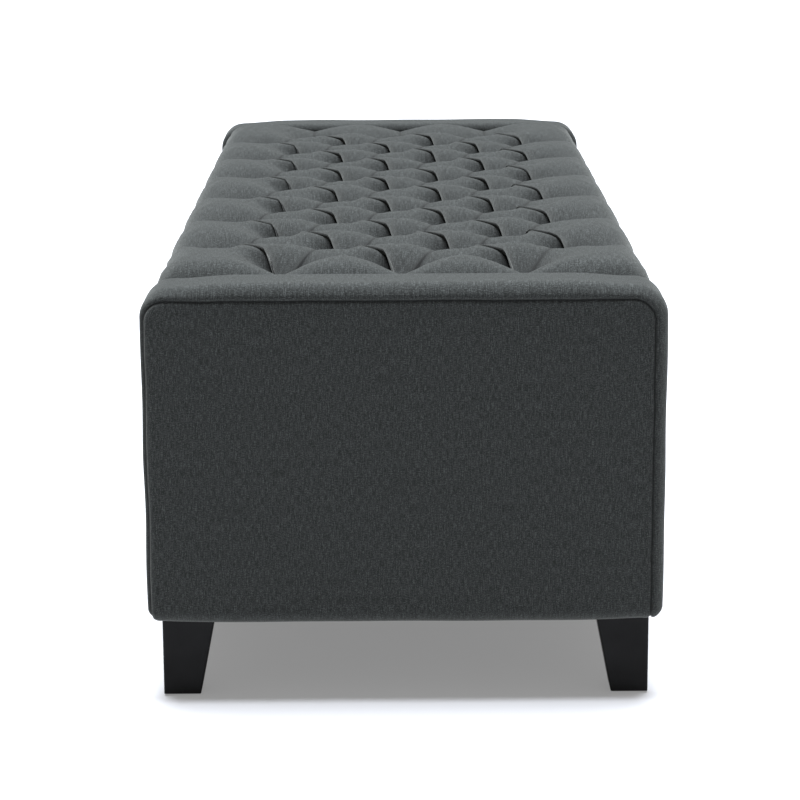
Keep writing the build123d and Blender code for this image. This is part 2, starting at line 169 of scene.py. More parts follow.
def relax(obj, free, pressure, cap, frames):
    """Blows a cover out against its stitching with Blender's cloth, and applies the result.

    free says how far each vertex may leave its place, from 0 where it is sewn down to 1. cap is the most
    that any point moves, in metres.
    """
    start = points_of(obj)
    pins = obj.vertex_groups.new(name="sewn_down")
    weights = np.round(1 - free, 2)
    for weight in np.unique(weights):
        pins.add(np.flatnonzero(weights == weight).tolist(), float(weight), "REPLACE")
    cloth = obj.modifiers.new("pressure", "CLOTH")
    settings = cloth.settings
    settings.quality = 1
    settings.mass = 0.0005
    settings.tension_stiffness = 5
    settings.compression_stiffness = 2.5
    settings.shear_stiffness = 2.5
    settings.bending_stiffness = 0.1
    settings.vertex_group_mass = pins.name
    settings.pin_stiffness = 1
    settings.use_pressure = True
    settings.uniform_pressure_force = pressure
    settings.effector_weights.gravity = 0
    cloth.point_cache.frame_start = 1
    cloth.point_cache.frame_end = frames
    scene = bpy.context.scene
    for number in range(1, frames + 1):
        scene.frame_set(number)
    evaluated = obj.evaluated_get(bpy.context.evaluated_depsgraph_get())
    blown = np.empty(len(start) * 3)
    evaluated.to_mesh().vertices.foreach_get("co", blown)
    evaluated.to_mesh_clear()
    obj.modifiers.remove(cloth)
    obj.vertex_groups.remove(pins)
    scene.frame_set(1)
    move = blown.reshape(-1, 3) - start
    if not np.isfinite(move).all():
        raise RuntimeError(f"the cloth of {obj.name} came apart")
    moved = np.linalg.norm(move, axis=1)
    keep = np.where(moved > 0, cap * np.tanh(moved / cap) / np.maximum(moved, 1e-9), 1)
    set_points(obj, start + move * (keep * smoothstep(free, 0, 0.15))[:, None])


# ---- Colours and shader nodes --------------------------------------------------------------------------
def colour(code):
    """An sRGB hex colour as linear RGBA."""
    channels = [int(code.lstrip("#")[i : i + 2], 16) / 255 for i in (0, 2, 4)]
    linear = [c / 12.92 if c <= 0.04045 else ((c + 0.055) / 1.055) ** 2.4 for c in channels]
    return (*linear, 1.0)


def add_node(tree, kind, links=None, **settings):
    """Adds a node.

    settings are its properties, or its input values by name. links maps its inputs to output sockets.
    """
    node = tree.nodes.new(kind)
    for name, value in settings.items():
        if hasattr(node, name) and name not in node.inputs:
            setattr(node, name, value)
        else:
            node.inputs[name.replace("_", " ") if name not in node.inputs else name].default_value = value
    for socket, source in (links or {}).items():
        tree.links.new(source, node.inputs[socket])
    return node


def new_material(name, **shader):
    """A material with one Principled shader. shader holds the constant values of its sockets."""
    material = bpy.data.materials.new(name)
    material.use_nodes = True
    tree = material.node_tree
    tree.nodes.clear()
    output = tree.nodes.new("ShaderNodeOutputMaterial")
    surface = tree.nodes.new("ShaderNodeBsdfPrincipled")
    for socket, value in shader.items():
        surface.inputs[socket.replace("_", " ")].default_value = value
    tree.links.new(surface.outputs["BSDF"], output.inputs["Surface"])
    return material, tree, surface


def ramp(tree, factor, *stops):
    """A colour ramp with the given (position, hex colour) stops."""
    node = add_node(tree, "ShaderNodeValToRGB", {"Fac": factor})
    elements = node.color_ramp.elements
    while len(elements) < len(stops):
        elements.new(0.5)
    for element, (position, code) in zip(elements, stops):
        element.position = position
        element.color = colour(code)
    return node.outputs["Color"]


def charcoal_linen(settings):
    """Heathered charcoal linen-look polyester, plain woven. It reads as crossed light and dark threads with
    uneven slubs, matt, with a soft fuzz that lifts at grazing angles."""
    material, tree, surface = new_material(
        "charcoal_linen", Roughness=0.92, IOR=1.46, Specular_IOR_Level=0.22,
        Sheen_Weight=0.22, Sheen_Roughness=0.55, Sheen_Tint=colour("#CBCDC6"),
    )
    cloth = add_node(tree, "ShaderNodeTexCoord").outputs["UV"]
    pitch = settings.thread_pitch
    values = []
    # A thread is one pitch wide. Slubs run about 3.5 mm along the weft and 9 mm along the warp.
    for scale in ((1 / 0.0035, 1 / pitch, 1), (1 / pitch, 1 / 0.009, 1)):
        stretched = add_node(tree, "ShaderNodeMapping", {"Vector": cloth}, Scale=scale)
        slub = add_node(
            tree, "ShaderNodeTexNoise", {"Vector": stretched.outputs[0]}, noise_dimensions="2D",
            Scale=1.0, Detail=2.0, Roughness=0.6,
        )
        values.append(slub.outputs["Fac"])
    both = add_node(tree, "ShaderNodeMath", {0: values[1], 2: values[0]}, operation="MULTIPLY_ADD")
    both.inputs[1].default_value = 1.05
    both = both.outputs[0]
    # Fibre mottling, about 0.9 mm across, from the mixed dark and pale fibres of heathered yarn.
    mottle = add_node(
        tree, "ShaderNodeTexNoise", {"Vector": cloth}, noise_dimensions="2D",
        Scale=1 / 0.0009, Detail=2.0, Roughness=0.7,
    ).outputs["Fac"]
    heather = add_node(tree, "ShaderNodeMath", {0: mottle, 2: both}, operation="MULTIPLY_ADD")
    heather.inputs[1].default_value = 1.6
    heather = add_node(
        tree, "ShaderNodeMapRange", {"Value": heather.outputs[0]}, From_Min=1.4, From_Max=2.3
    ).outputs[0]
    weave = ramp(
        tree, heather, (0.0, settings.dark_yarn), (0.45, settings.mid_yarn), (1.0, settings.pale_yarn)
    )
    # Painted shade: the cloth is darkened down in its folds and seams, by the crease attribute, towards the fold
    # shade colour.
    fold = add_node(tree, "ShaderNodeAttribute", attribute_name="crease").outputs["Fac"]
    # Sockets 0, 6 and 7 are the colour mix's factor and its two colours.
    shaded = add_node(tree, "ShaderNodeMix", {0: fold, 6: weave}, data_type="RGBA")
    shaded.inputs[7].default_value = colour(settings.fold_shade)
    tree.links.new(shaded.outputs[2], surface.inputs["Base Color"])
    # Threads stand about a quarter of a millimetre proud of the gaps between them.
    grid = add_node(tree, "ShaderNodeMapping", {"Vector": cloth}, Scale=(1 / pitch, 1 / pitch, 1))
    knots = add_node(
        tree, "ShaderNodeTexVoronoi", {"Vector": grid.outputs[0]}, voronoi_dimensions="2D",
        Scale=1.0, Randomness=0.35,
    ).outputs["Distance"]
    relief = add_node(tree, "ShaderNodeMath", {0: heather, 1: knots}, operation="SUBTRACT").outputs[0]
    bump = add_node(tree, "ShaderNodeBump", {"Height": relief}, Strength=0.55, Distance=0.00025)
    tree.links.new(bump.outputs[0], surface.inputs["Normal"])
    return material


def polyether_foam(settings):
    """Cut polyether foam, pale yellow, with open cells about 1.5 mm across."""
    material, tree, surface = new_material("polyether_foam", Roughness=0.95, Specular_IOR_Level=0.1)
    place = add_node(tree, "ShaderNodeTexCoord").outputs["Object"]
    cells = add_node(tree, "ShaderNodeTexVoronoi", {"Vector": place}, Scale=1 / 0.0015)
    # Painted shade: each cell is darker down in its hollow.
    shade = ramp(tree, cells.outputs["Distance"], (0.0, "#B9AE86"), (0.6, "#E6DDBB"))
    tree.links.new(shade, surface.inputs["Base Color"])
    bump = add_node(tree, "ShaderNodeBump", {"Height": cells.outputs["Distance"]}, Strength=0.4, Distance=0.0005)
    tree.links.new(bump.outputs[0], surface.inputs["Normal"])
    return material


def spunbond_lining(settings):
    """Black spun-bonded polypropylene, the thin fibrous cloth inside and under upholstery, with a 1.6 mm
    diamond of bonding dots and a faint fibrous sheen."""
    material, tree, surface = new_material(
        "spunbond_lining", Roughness=0.7, IOR=1.49, Specular_IOR_Level=0.25,
        Sheen_Weight=0.06, Sheen_Roughness=0.4,
    )
    place = add_node(tree, "ShaderNodeTexCoord").outputs["Object"]
    fibres = add_node(tree, "ShaderNodeTexNoise", {"Vector": place}, Scale=1 / 0.004, Detail=6.0, Roughness=0.75)
    dots = add_node(tree, "ShaderNodeTexVoronoi", {"Vector": place}, Scale=1 / 0.0016, Randomness=0.1)
    shade = ramp(tree, fibres.outputs["Fac"], (0.3, settings.lining_colour), (0.75, "#29292A"))
    tree.links.new(shade, surface.inputs["Base Color"])
    relief = add_node(
        tree, "ShaderNodeMath", {0: fibres.outputs["Fac"], 1: dots.outputs["Distance"]}, operation="ADD"
    )
    bump = add_node(tree, "ShaderNodeBump", {"Height": relief.outputs[0]}, Strength=0.4, Distance=0.0002)
    tree.links.new(bump.outputs[0], surface.inputs["Normal"])
    return material


def wood_grain(name, dark, pale, ring, figure, rough, coat=0.0, relief=0.0001, along=0):
    """Wood with growth rings the given distance apart, drawn out along one axis."""
    material, tree, surface = new_material(
        name, Roughness=rough, IOR=1.5, Specular_IOR_Level=0.4, Coat_Weight=coat, Coat_Roughness=0.28
    )
    place = add_node(tree, "ShaderNodeTexCoord").outputs["Object"]
    scale = [1.0, 1.0, 1.0]
    scale[along] = 0.08
    drawn = add_node(tree, "ShaderNodeMapping", {"Vector": place}, Scale=scale)
    swirl = add_node(tree, "ShaderNodeTexNoise", {"Vector": drawn.outputs[0]}, Scale=1 / figure, Detail=4.0)
    rings = add_node(
        tree, "ShaderNodeTexWave", {"Vector": drawn.outputs[0]}, wave_type="BANDS",
        bands_direction="DIAGONAL", Scale=0.31 / ring, Distortion=5.0, Detail=3.0, Detail_Scale=1.2,
    )
    pores = add_node(tree, "ShaderNodeTexNoise", {"Vector": drawn.outputs[0]}, Scale=1 / 0.0006, Detail=2.0)
    mixed = add_node(
        tree, "ShaderNodeMath", {0: rings.outputs["Fac"], 1: swirl.outputs["Fac"]}, operation="MULTIPLY"
    )
    fine = add_node(
        tree, "ShaderNodeMath", {0: pores.outputs["Fac"], 2: mixed.outputs[0]}, operation="MULTIPLY_ADD"
    )
    fine.inputs[1].default_value = 0.35
    shade = ramp(tree, fine.outputs[0], (0.1, dark), (0.75, pale))
    tree.links.new(shade, surface.inputs["Base Color"])
    bump = add_node(tree, "ShaderNodeBump", {"Height": fine.outputs[0]}, Strength=0.35, Distance=relief)
    tree.links.new(bump.outputs[0], surface.inputs["Normal"])
    return material


def sawn_pine(settings):
    """Kiln-dried pine, sawn: honey and cream bands a few millimetres apart, with a rough face."""
    return wood_grain("sawn_pine", "#B98A52", "#E3C48F", 0.006, 0.03, 0.8, relief=0.0004)


def sanded_plywood(settings):
    """Birch-faced plywood, sanded: pale, with a faint wide figure."""
    return wood_grain("sanded_plywood", "#C49A68", "#E0C092", 0.02, 0.06, 0.62)


def hardboard(settings):
    """Pressed wood fibre, dark brown, smooth with short pale and dark fibres about 1 mm long."""
    material, tree, surface = new_material("hardboard", Roughness=0.55, Specular_IOR_Level=0.35)
    place = add_node(tree, "ShaderNodeTexCoord").outputs["Object"]
    fibres = add_node(tree, "ShaderNodeTexNoise", {"Vector": place}, Scale=1 / 0.001, Detail=4.0, Roughness=0.8)
    shade = ramp(tree, fibres.outputs["Fac"], (0.3, "#4A3020"), (0.7, "#7A5638"))
    tree.links.new(shade, surface.inputs["Base Color"])
    return material


def black_lacquered_rubberwood(settings):
    """Rubberwood stained black and lacquered: near black, with the grain only just felt through a satin
    film, and the film rubbed a little duller in patches."""
    material, tree, surface = new_material(
        "black_lacquered_rubberwood", IOR=1.5, Specular_IOR_Level=0.14,
    )
    place = add_node(tree, "ShaderNodeTexCoord").outputs["Object"]
    # Grain runs up the leg, drawn 0.8 mm wide and 12 mm long, twice as coarse as life so that it shows.
    upright = add_node(tree, "ShaderNodeMapping", {"Vector": place}, Scale=(1 / 0.0008, 1 / 0.0008, 1 / 0.012))
    grain = add_node(tree, "ShaderNodeTexNoise", {"Vector": upright.outputs[0]}, Scale=1.0, Detail=3.0)
    rubbed = add_node(tree, "ShaderNodeTexNoise", {"Vector": place}, Scale=1 / 0.03, Detail=3.0)
    shade = ramp(tree, grain.outputs["Fac"], (0.3, settings.leg_colour), (0.8, "#0B0A0A"))
    tree.links.new(shade, surface.inputs["Base Color"])
    rough = add_node(
        tree, "ShaderNodeMapRange", {"Value": rubbed.outputs["Fac"]},
        From_Min=0.3, From_Max=0.7, To_Min=0.34, To_Max=0.5,
    )
    tree.links.new(rough.outputs[0], surface.inputs["Roughness"])
    bump = add_node(tree, "ShaderNodeBump", {"Height": grain.outputs["Fac"]}, Strength=0.25, Distance=0.0001)
    tree.links.new(bump.outputs[0], surface.inputs["Normal"])
    return material


def zinc_plated_steel(settings):
    """Mild steel, bright zinc plated: cool silver with a cloudy, slightly spangled dullness."""
    material, tree, surface = new_material("zinc_plated_steel", Metallic=1.0)
    place = add_node(tree, "ShaderNodeTexCoord").outputs["Object"]
    spangle = add_node(tree, "ShaderNodeTexNoise", {"Vector": place}, Scale=1 / 0.004, Detail=5.0)
    shade = ramp(tree, spangle.outputs["Fac"], (0.3, "#9FA3A6"), (0.7, "#C3C6C7"))
    tree.links.new(shade, surface.inputs["Base Color"])
    rough = add_node(
        tree, "ShaderNodeMapRange", {"Value": spangle.outputs["Fac"]},
        From_Min=0.3, From_Max=0.7, To_Min=0.3, To_Max=0.46,
    )
    tree.links.new(rough.outputs[0], surface.inputs["Roughness"])
    return material


def moulded_nylon(settings):
    """Black moulded nylon with a fine spark-eroded grain of about 0.3 mm."""
    material, tree, surface = new_material("moulded_nylon", Roughness=0.5, IOR=1.53, Specular_IOR_Level=0.4)
    place = add_node(tree, "ShaderNodeTexCoord").outputs["Object"]
    grain = add_node(tree, "ShaderNodeTexNoise", {"Vector": place}, Scale=1 / 0.0003, Detail=2.0)
    shade = ramp(tree, grain.outputs["Fac"], (0.3, "#111112"), (0.8, "#1D1D1F"))
    tree.links.new(shade, surface.inputs["Base Color"])
    bump = add_node(tree, "ShaderNodeBump", {"Height": grain.outputs["Fac"]}, Strength=0.3, Distance=0.00005)
    tree.links.new(bump.outputs[0], surface.inputs["Normal"])
    return material


def waxed_twine(settings):
    """Waxed polyester tufting twine, cream, with its strands laid at a slant."""
    material, tree, surface = new_material("waxed_twine", Roughness=0.6, Specular_IOR_Level=0.4)
    place = add_node(tree, "ShaderNodeTexCoord").outputs["Object"]
    lay = add_node(
        tree, "ShaderNodeTexWave", {"Vector": place}, bands_direction="DIAGONAL",
        Scale=0.31 / 0.0012, Distortion=0.5,
    )
    shade = ramp(tree, lay.outputs["Fac"], (0.2, "#B9A67E"), (0.8, "#E5D9B9"))
    tree.links.new(shade, surface.inputs["Base Color"])
    return material


FINISHES = {
    "linen_weave": charcoal_linen,
    "cushion_foam": polyether_foam,
    "lining_cloth": spunbond_lining,
    "waxed_twine": waxed_twine,
    "pine_timber": sawn_pine,
    "plywood": sanded_plywood,
    "hardboard": hardboard,
    "black_stained_wood": black_lacquered_rubberwood,
    "zinc_plated_steel": zinc_plated_steel,
    "black_nylon": moulded_nylon,
}
made_finishes = {}


def finish_for(slot):
    """The material of a slot, made the first time that a piece asks for it."""
    if slot not in made_finishes:
        made_finishes[slot] = FINISHES[slot](bpy.context.scene.bench_finish)
    return made_finishes[slot]


def settle(obj, body, slot, *nodes):
    """Gives a finished piece its material, its body and the CAD nodes that it stands for."""
    obj.data.materials.clear()
    obj.data.materials.append(finish_for(slot))
    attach(obj, body)
    if nodes:
        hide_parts(*nodes)
    return obj


# ---- The tufted lid ------------------------------------------------------------------------------------
# Distances from a pleat at which the cover has points, in metres: close together where the cloth folds.
FOLD_STEPS = np.array([0, 0.9, 1.8, 2.7, 3.7, 5, 6.6, 8.6, 11, 14, 17.6, 21.8, 26.6, 32, 37.5, 43]) * MM
# The folded lip of a pleat: where each step of cloth ends up across the pleat, for a lip 1 unit long.
LIP_CLOTH = np.array([0, 0.9, 1.8, 2.7, 3.7, 5, 6.6, 8.6, 11, 14, 17.6, 21.8, 26.6, 32]) * MM
LIP_SHIFT = np.array([0, -0.78, -1.3, -1.6, -1.68, -1.64, -1.5, -1.28, -1.0, -0.7, -0.43, -0.2, -0.06, 0])


class TuftedCover:
    """Works out the points of a diamond-tufted cover, one puff at a time."""

    def __init__(self, settings, core, edge, depth, foot, hem, tufts_x, tufts_y):
        self.s = settings
        self.random = np.random.default_rng(settings.seed)
        # Half the cloth's length and width: over the top edge, down the wall, round the foot and the hem.
        self.limit_x = core[1] - edge + edge * math.pi / 2 + depth - edge - foot + foot * math.pi / 2 + hem
        self.limit_y = core[3] - edge + edge * math.pi / 2 + depth - edge - foot + foot * math.pi / 2 + hem
        self.flat, self.cloth, self.drop, self.fold, self.free = [], [], [], [], []
        self.index, self.faces = {}, []
        self.tuft_points, self.crease_depths = {}, {}
        self.nx, self.ny = tufts_x, tufts_y

    def tuft(self, i, j):
        """Where a tuft is. i and j count half pitches from the middle."""
        if (i, j) not in self.tuft_points:
            # The third number is left over; drawing it keeps the chance shapes of the puffs as they are.
            wander = self.random.normal(0, self.s.wander, 3)[:2]
            self.tuft_points[(i, j)] = np.array([i * self.nx, j * self.ny]) + wander
        return self.tuft_points[(i, j)]

    def crease_depth(self, key, base):
        """How deep the middle of one pleat lies. Every pleat is a little different."""
        if key not in self.crease_depths:
            self.crease_depths[key] = base + self.random.normal(0, 0.9 * MM)
        return self.crease_depths[key]

    def across(self, flat, edges, tufts, saddle):
        """Drop and shift of the cloth at flat points inside a puff.

        edges are the puff's pleats, tufts its tufts, and saddle the two tufts between which it dips, or None.
        """
        s = self.s
        shift = np.zeros((len(flat), 2))
        nearest = np.full(len(flat), 1.0)
        nearest_lap = np.full(len(flat), 1.0)
        total = np.zeros(len(flat))
        lapped = np.zeros(len(flat))
        for start, end, inward, base, runs_out, key in edges:
            along = end - start
            run = np.linalg.norm(along)
            along = along / run
            reach = (flat - start) @ along
            inside = np.clip(reach, 0, run)
            away = flat - start - inside[:, None] * along
            d = np.linalg.norm(away, axis=1)
            from_tuft = inside if runs_out else np.minimum(inside, run - inside)
            lapping = not runs_out and along[0] * along[1] > 0
            slack = (1 - np.exp(-((from_tuft / (6 * MM)) ** 1.5))) * lapping
            if lapping:
                nearest_lap = np.minimum(nearest_lap, d)
            deep = np.full(len(flat), self.crease_depth(key, base))
            roll = s.puff_roll
            if runs_out:
                deep = deep * (1 - 0.85 * smoothstep(from_tuft, s.crease_start, s.crease_end))
                deep = deep * (1 - smoothstep(from_tuft, 0.7 * run, 0.97 * run))
                roll = s.side_roll
            lip = s.lip_length * slack
            on_it = (reach >= 0) & (reach <= run)
            if inward[1] > 0:
                # The puff that laps over: its edge is carried past the pleat and stands up a little.
                folded = d + np.interp(d, LIP_CLOTH, LIP_SHIFT) * lip
                shift += (inward * (folded - d)[:, None]) * on_it[:, None]
                across = np.clip(folded + lip, 0, None)
                under = np.interp(d, [0, 0.9 * MM, 1.8 * MM, 2.7 * MM], [1.0, 0.85, 0.42, 0])
                lift = -s.lip_rise * slack * np.exp(-across / s.lip_reach)
                turned_under = -s.lip_rise * slack + (s.lip_rise + s.cleft) * slack * under
                lift = np.where(d < 2.7 * MM, turned_under, lift)
            else:
                # The puff that it laps over rolls down into the fold.
                across = np.clip(d - lip, 0, None)
                t = np.clip(d / s.cleft_width, 0, 1)
                lift = s.cleft * slack * (1 - np.sqrt(1 - (1 - t) ** 2))
            t = np.clip(across / roll, 0, 1)
            total += (deep * (1 - np.sin(t * math.pi / 2))) ** 3
            lapped += lift * on_it
            nearest = np.minimum(nearest, d)
        moved = flat + shift
        for tuft in tufts:
            r = np.linalg.norm(moved - tuft, axis=1)
            spread = smoothstep(nearest_lap / np.maximum(r, 1e-6), 0.0, 0.6)
            funnel = s.funnel + (s.bowl - s.funnel) * spread
            t = np.clip((r - s.button_reach) / (funnel - s.button_reach), 0, 1)
            total += (s.tuft_depth * (1 - np.sin(t * math.pi / 2) ** s.funnel_power)) ** 3
        dip = np.zeros(len(flat))
        if saddle is not None:
            first, second = saddle
            span = (second - first) / np.linalg.norm(second - first)
            off = np.abs((flat - first) @ np.array([-span[1], span[0]]))
            dip = s.saddle * np.exp(-((off / s.saddle_reach) ** 2))
        return total ** (1 / 3) + lapped + dip, shift, nearest

    def puckers(self, flat, corners, nearest):
        """Small gathers in the cloth that run out from the tufts."""
        ripple = np.zeros(len(flat))
        for corner in corners:
            spoke = flat - corner
            r = np.linalg.norm(spoke, axis=1)
            angle = np.arctan2(spoke[:, 1], spoke[:, 0])
            seedling = np.random.default_rng(int(abs(corner[0] * 7919 + corner[1] * 104729) * 1000))
            phases = seedling.uniform(0, 2 * math.pi, 4)
            wave = (
                np.sin(11 * angle + phases[0] + 30 * r)
                + 0.8 * np.sin(17 * angle + phases[1])
                + 0.5 * np.sin(29 * angle + phases[2])
            )
            ripple += wave * np.exp(-(((r - 17 * MM) / (13 * MM)) ** 2)) * seedling.uniform(0.5, 1.1)
        return ripple * self.s.pucker * smoothstep(nearest, 2.5 * MM, 9 * MM)

    def add_patch(self, corners, steps_a, steps_b, edges, tufts, saddle=None):
        """Adds the grid of a four-cornered patch of flat cloth. Points on shared edges are made once."""
        c00, c10, c11, c01 = corners
        a, b = np.meshgrid(steps_a, steps_b, indexing="ij")
        a, b = a.ravel()[:, None], b.ravel()[:, None]
        flat = (1 - a) * (1 - b) * c00 + a * (1 - b) * c10 + a * b * c11 + (1 - a) * b * c01
        drop, shift, nearest = self.across(flat, edges, tufts, saddle)
        drop = drop + self.puckers(flat, tufts, nearest)
        near_tuft = np.min([np.linalg.norm(flat - t, axis=1) for t in tufts], axis=0)
        # Painted shade: dark in the pleats and round each tuft, fading off away from them.
        fold = np.exp(-((nearest / (2.6 * MM)) ** 1.4)) * 0.7 + 0.8 * np.exp(-((near_tuft / (31 * MM)) ** 1.7))
        free = smoothstep(nearest, 9 * MM, 26 * MM)
        ids = np.empty(len(flat), dtype=int)
        for k, point in enumerate(flat):
            key = (round(point[0] * 1e5), round(point[1] * 1e5))
            if key not in self.index:
                self.index[key] = len(self.flat)
                self.flat.append(point + shift[k])
                self.cloth.append(point)
                self.drop.append(drop[k])
                self.fold.append(min(fold[k], 1.0))
                self.free.append(free[k])
            ids[k] = self.index[key]
        ids = ids.reshape(len(steps_a), len(steps_b))
        turned = np.cross(c10 - c00, c01 - c00) < 0
        for i in range(len(steps_a) - 1):
            for j in range(len(steps_b) - 1):
                face = [ids[i, j], ids[i + 1, j], ids[i + 1, j + 1], ids[i, j + 1]]
                if len(set(face)) == 4:
                    self.faces.append(face[::-1] if turned else face)

    def pleat(self, start, end, middle, base, free_end=False):
        """A pleat as seen from inside a puff with the given middle."""
        along = (end - start) / np.linalg.norm(end - start)
        inward = np.array([-along[1], along[0]])
        if (middle - start) @ inward < 0:
            inward = -inward
        if not free_end and along[0] * along[1] > 0:
            base = base * self.s.near_hand
        key = tuple(sorted([tuple(np.round(start * 1e4).astype(int)), tuple(np.round(end * 1e4).astype(int))]))
        return (start, end, inward, base, free_end, key)


def fold_fractions(width):
    """Steps across a puff, closer together at both sides, as fractions."""
    near = FOLD_STEPS[FOLD_STEPS < width / 2 - 3 * MM] / width
    return np.concatenate([near, [0.5], (1 - near)[::-1]])


def outward_fractions(width, spacing):
    """Steps from a pleat out to the hem, as fractions."""
    near = FOLD_STEPS / width
    count = max(2, int((width - FOLD_STEPS[-1]) / spacing))
    return np.concatenate([near, np.linspace(near[-1], 1, count + 1)[1:]])


def build_tufted_lid(settings):
    """The lid's cover: every puff, the sides with their pleats, and the flap turned in underneath."""
    low, high = node_box("lid_cover")
    twine_high = node_box("tuft_twines")[1]
    twine_radius = 1.25 * MM
    rows, per_row = settings.tuft_rows, settings.tufts_per_row
    half_x = (twine_high[0] - twine_radius) / (rows - 1)
    half_y = (twine_high[1] - twine_radius) / per_row
    edge, foot, hem = settings.edge_roll, 5 * MM, 18 * MM
    core = (low[0], high[0], low[1] + settings.side_draw, high[1] - settings.side_draw)
    cover = TuftedCover(settings, core, edge, high[2] - low[2], foot, hem, half_x, half_y)
    lx, ly = cover.limit_x, cover.limit_y
    i_end, j_end = rows - 1, per_row
    across_fractions = fold_fractions(math.hypot(half_x, half_y))
    # One set of steps out to the hem serves both directions, so that the corner halves meet.
    out = outward_fractions(min(lx - i_end * half_x, ly - j_end * half_y), settings.side_spacing)
    deep, side_deep = settings.crease_depth, settings.side_crease

    # Full diamonds: left and right tufts two half pitches apart, and one half pitch up and down.
    for j in range(-j_end + 1, j_end):
        start = -i_end if (j + per_row) % 2 == 1 else -i_end + 1
        for i in range(start, -start - 1, 2):
            west, east = cover.tuft(i, j), cover.tuft(i + 2, j)
            south, north = cover.tuft(i + 1, j - 1), cover.tuft(i + 1, j + 1)
            middle = (west + east) / 2
            corners = (west, south, east, north)
            ring = [cover.pleat(corners[k], corners[(k + 1) % 4], middle, deep) for k in range(4)]
            cover.add_patch(corners, across_fractions, across_fractions, ring, corners, (south, north))

    # Puffs that run over the long sides, in two halves each.
    for side in (-1, 1):
        for i in range(-i_end + 1, i_end - 1, 2):
            left, right = cover.tuft(i, side * j_end), cover.tuft(i + 2, side * j_end)
            inner = cover.tuft(i + 1, side * (j_end - 1))
            hem_left, hem_right = (np.array([p[0], side * ly]) for p in (left, right))
            hem_middle = np.array([inner[0], side * ly])
            middle = np.array([inner[0], left[1]])
            ring = [
                cover.pleat(inner, left, middle, deep),
                cover.pleat(inner, right, middle, deep),
                cover.pleat(left, hem_left, middle, side_deep, True),
                cover.pleat(right, hem_right, middle, side_deep, True),
            ]
            tufts = (left, right, inner)
            for tuft, hem_end in ((left, hem_left), (right, hem_right)):
                cover.add_patch((inner, tuft, hem_end, hem_middle), across_fractions, out, ring, tufts)

    # Puffs that run over the short ends, in two halves each.
    for side in (-1, 1):
        end_deep = settings.end_crease if side > 0 else settings.far_end_crease
        for j in range(-j_end + 1, j_end - 1, 2):
            left, right = cover.tuft(side * i_end, j), cover.tuft(side * i_end, j + 2)
            inner = cover.tuft(side * (i_end - 1), j + 1)
            hem_left, hem_right = (np.array([side * lx, p[1]]) for p in (left, right))
            hem_middle = np.array([side * lx, inner[1]])
            middle = np.array([left[0], inner[1]])
            ring = [
                cover.pleat(inner, left, middle, deep),
                cover.pleat(inner, right, middle, deep),
                cover.pleat(left, hem_left, middle, end_deep, True),
                cover.pleat(right, hem_right, middle, end_deep, True),
            ]
            tufts = (left, right, inner)
            for tuft, hem_end in ((left, hem_left), (right, hem_right)):
                patch = (inner, tuft, hem_end, hem_middle)
                cover.add_patch(patch, across_fractions, out, ring, tufts, (left, right))

    # Corner puffs, in two halves that meet along the line to the corner.
    half_steps = across_fractions[across_fractions <= 0.5 + 1e-9] * 2
    for sx in (-1, 1):
        for sy in (-1, 1):
            end_tuft = cover.tuft(sx * i_end, sy * (j_end - 1))
            side_tuft = cover.tuft(sx * (i_end - 1), sy * j_end)
            hem_end, hem_side = np.array([sx * lx, end_tuft[1]]), np.array([side_tuft[0], sy * ly])
            far = np.array([sx * lx, sy * ly])
            between = (end_tuft + side_tuft) / 2
            ring = [
                cover.pleat(end_tuft, side_tuft, far, deep),
                cover.pleat(end_tuft, hem_end, far, settings.end_crease, True),
                cover.pleat(side_tuft, hem_side, far, side_deep, True),
            ]
            tufts = (end_tuft, side_tuft)
            cover.add_patch((side_tuft, between, far, hem_side), half_steps, out, ring, tufts)
            cover.add_patch((end_tuft, between, far, hem_end), half_steps, out, ring, tufts)

    flat, drop = np.array(cover.flat), np.array(cover.drop)
    cloth = np.array(cover.cloth)
    # How far each point of cloth is past the flat of the top, and the same at the foot of the wall.
    over = np.maximum(
        np.maximum(np.abs(cloth[:, 0]) - core[1] + edge, np.abs(cloth[:, 1]) - core[3] + edge), 0
    )
    wall_end = edge * math.pi / 2 + high[2] - low[2] - edge - foot
    drop = drop * (1 - smoothstep(over, wall_end - 12 * MM, wall_end))
    rise = settings.crest_rise + settings.crest_tilt * cloth[:, 0] / high[0]
    # The foot of every tuft stays over the button that is hidden in it.
    room = high[2] + rise - node_box("tuft_buttons")[1][2] - BUTTON_COVER
    shoulder = 0.75 * room
    deepest = room - (room - shoulder) * np.exp(-np.clip(drop - shoulder, 0, None) / (room - shoulder))
    drop = np.where(drop > shoulder, deepest, drop)
    drop = drop - rise * (1 - smoothstep(over, -4 * MM, edge * 1.3))
    verts = wrap(flat, core, edge, edge, high[2] - low[2], foot, drop)
    verts[:, 2] += high[2]
    free = np.array(cover.free) * (1 - smoothstep(over, wall_end - 25 * MM, wall_end - 5 * MM))
    # The painted shade in the folds fades out down the lid's sides.
    fold = np.array(cover.fold) * (1 - 0.6 * smoothstep(over, 0.02, 0.09))
    return verts, cover.faces, cloth, fold, free


def boundary_loop(faces, count):
    """The vertices round the one open edge of a mesh, in order."""
    used = {}
    for face in faces:
        for k in range(len(face)):
            a, b = face[k], face[(k + 1) % len(face)]
            used[(a, b)] = used.get((a, b), 0) + 1
    after = {a: b for (a, b) in used if (b, a) not in used}
    start = next(iter(after))
    loop = [start]
    while after[loop[-1]] != start:
        loop.append(after[loop[-1]])
        if len(loop) > count:
            raise RuntimeError("the cover's hem isn't one loop")
    if len(loop) != len(after):
        raise RuntimeError("the cover has more than one open edge")
    return loop


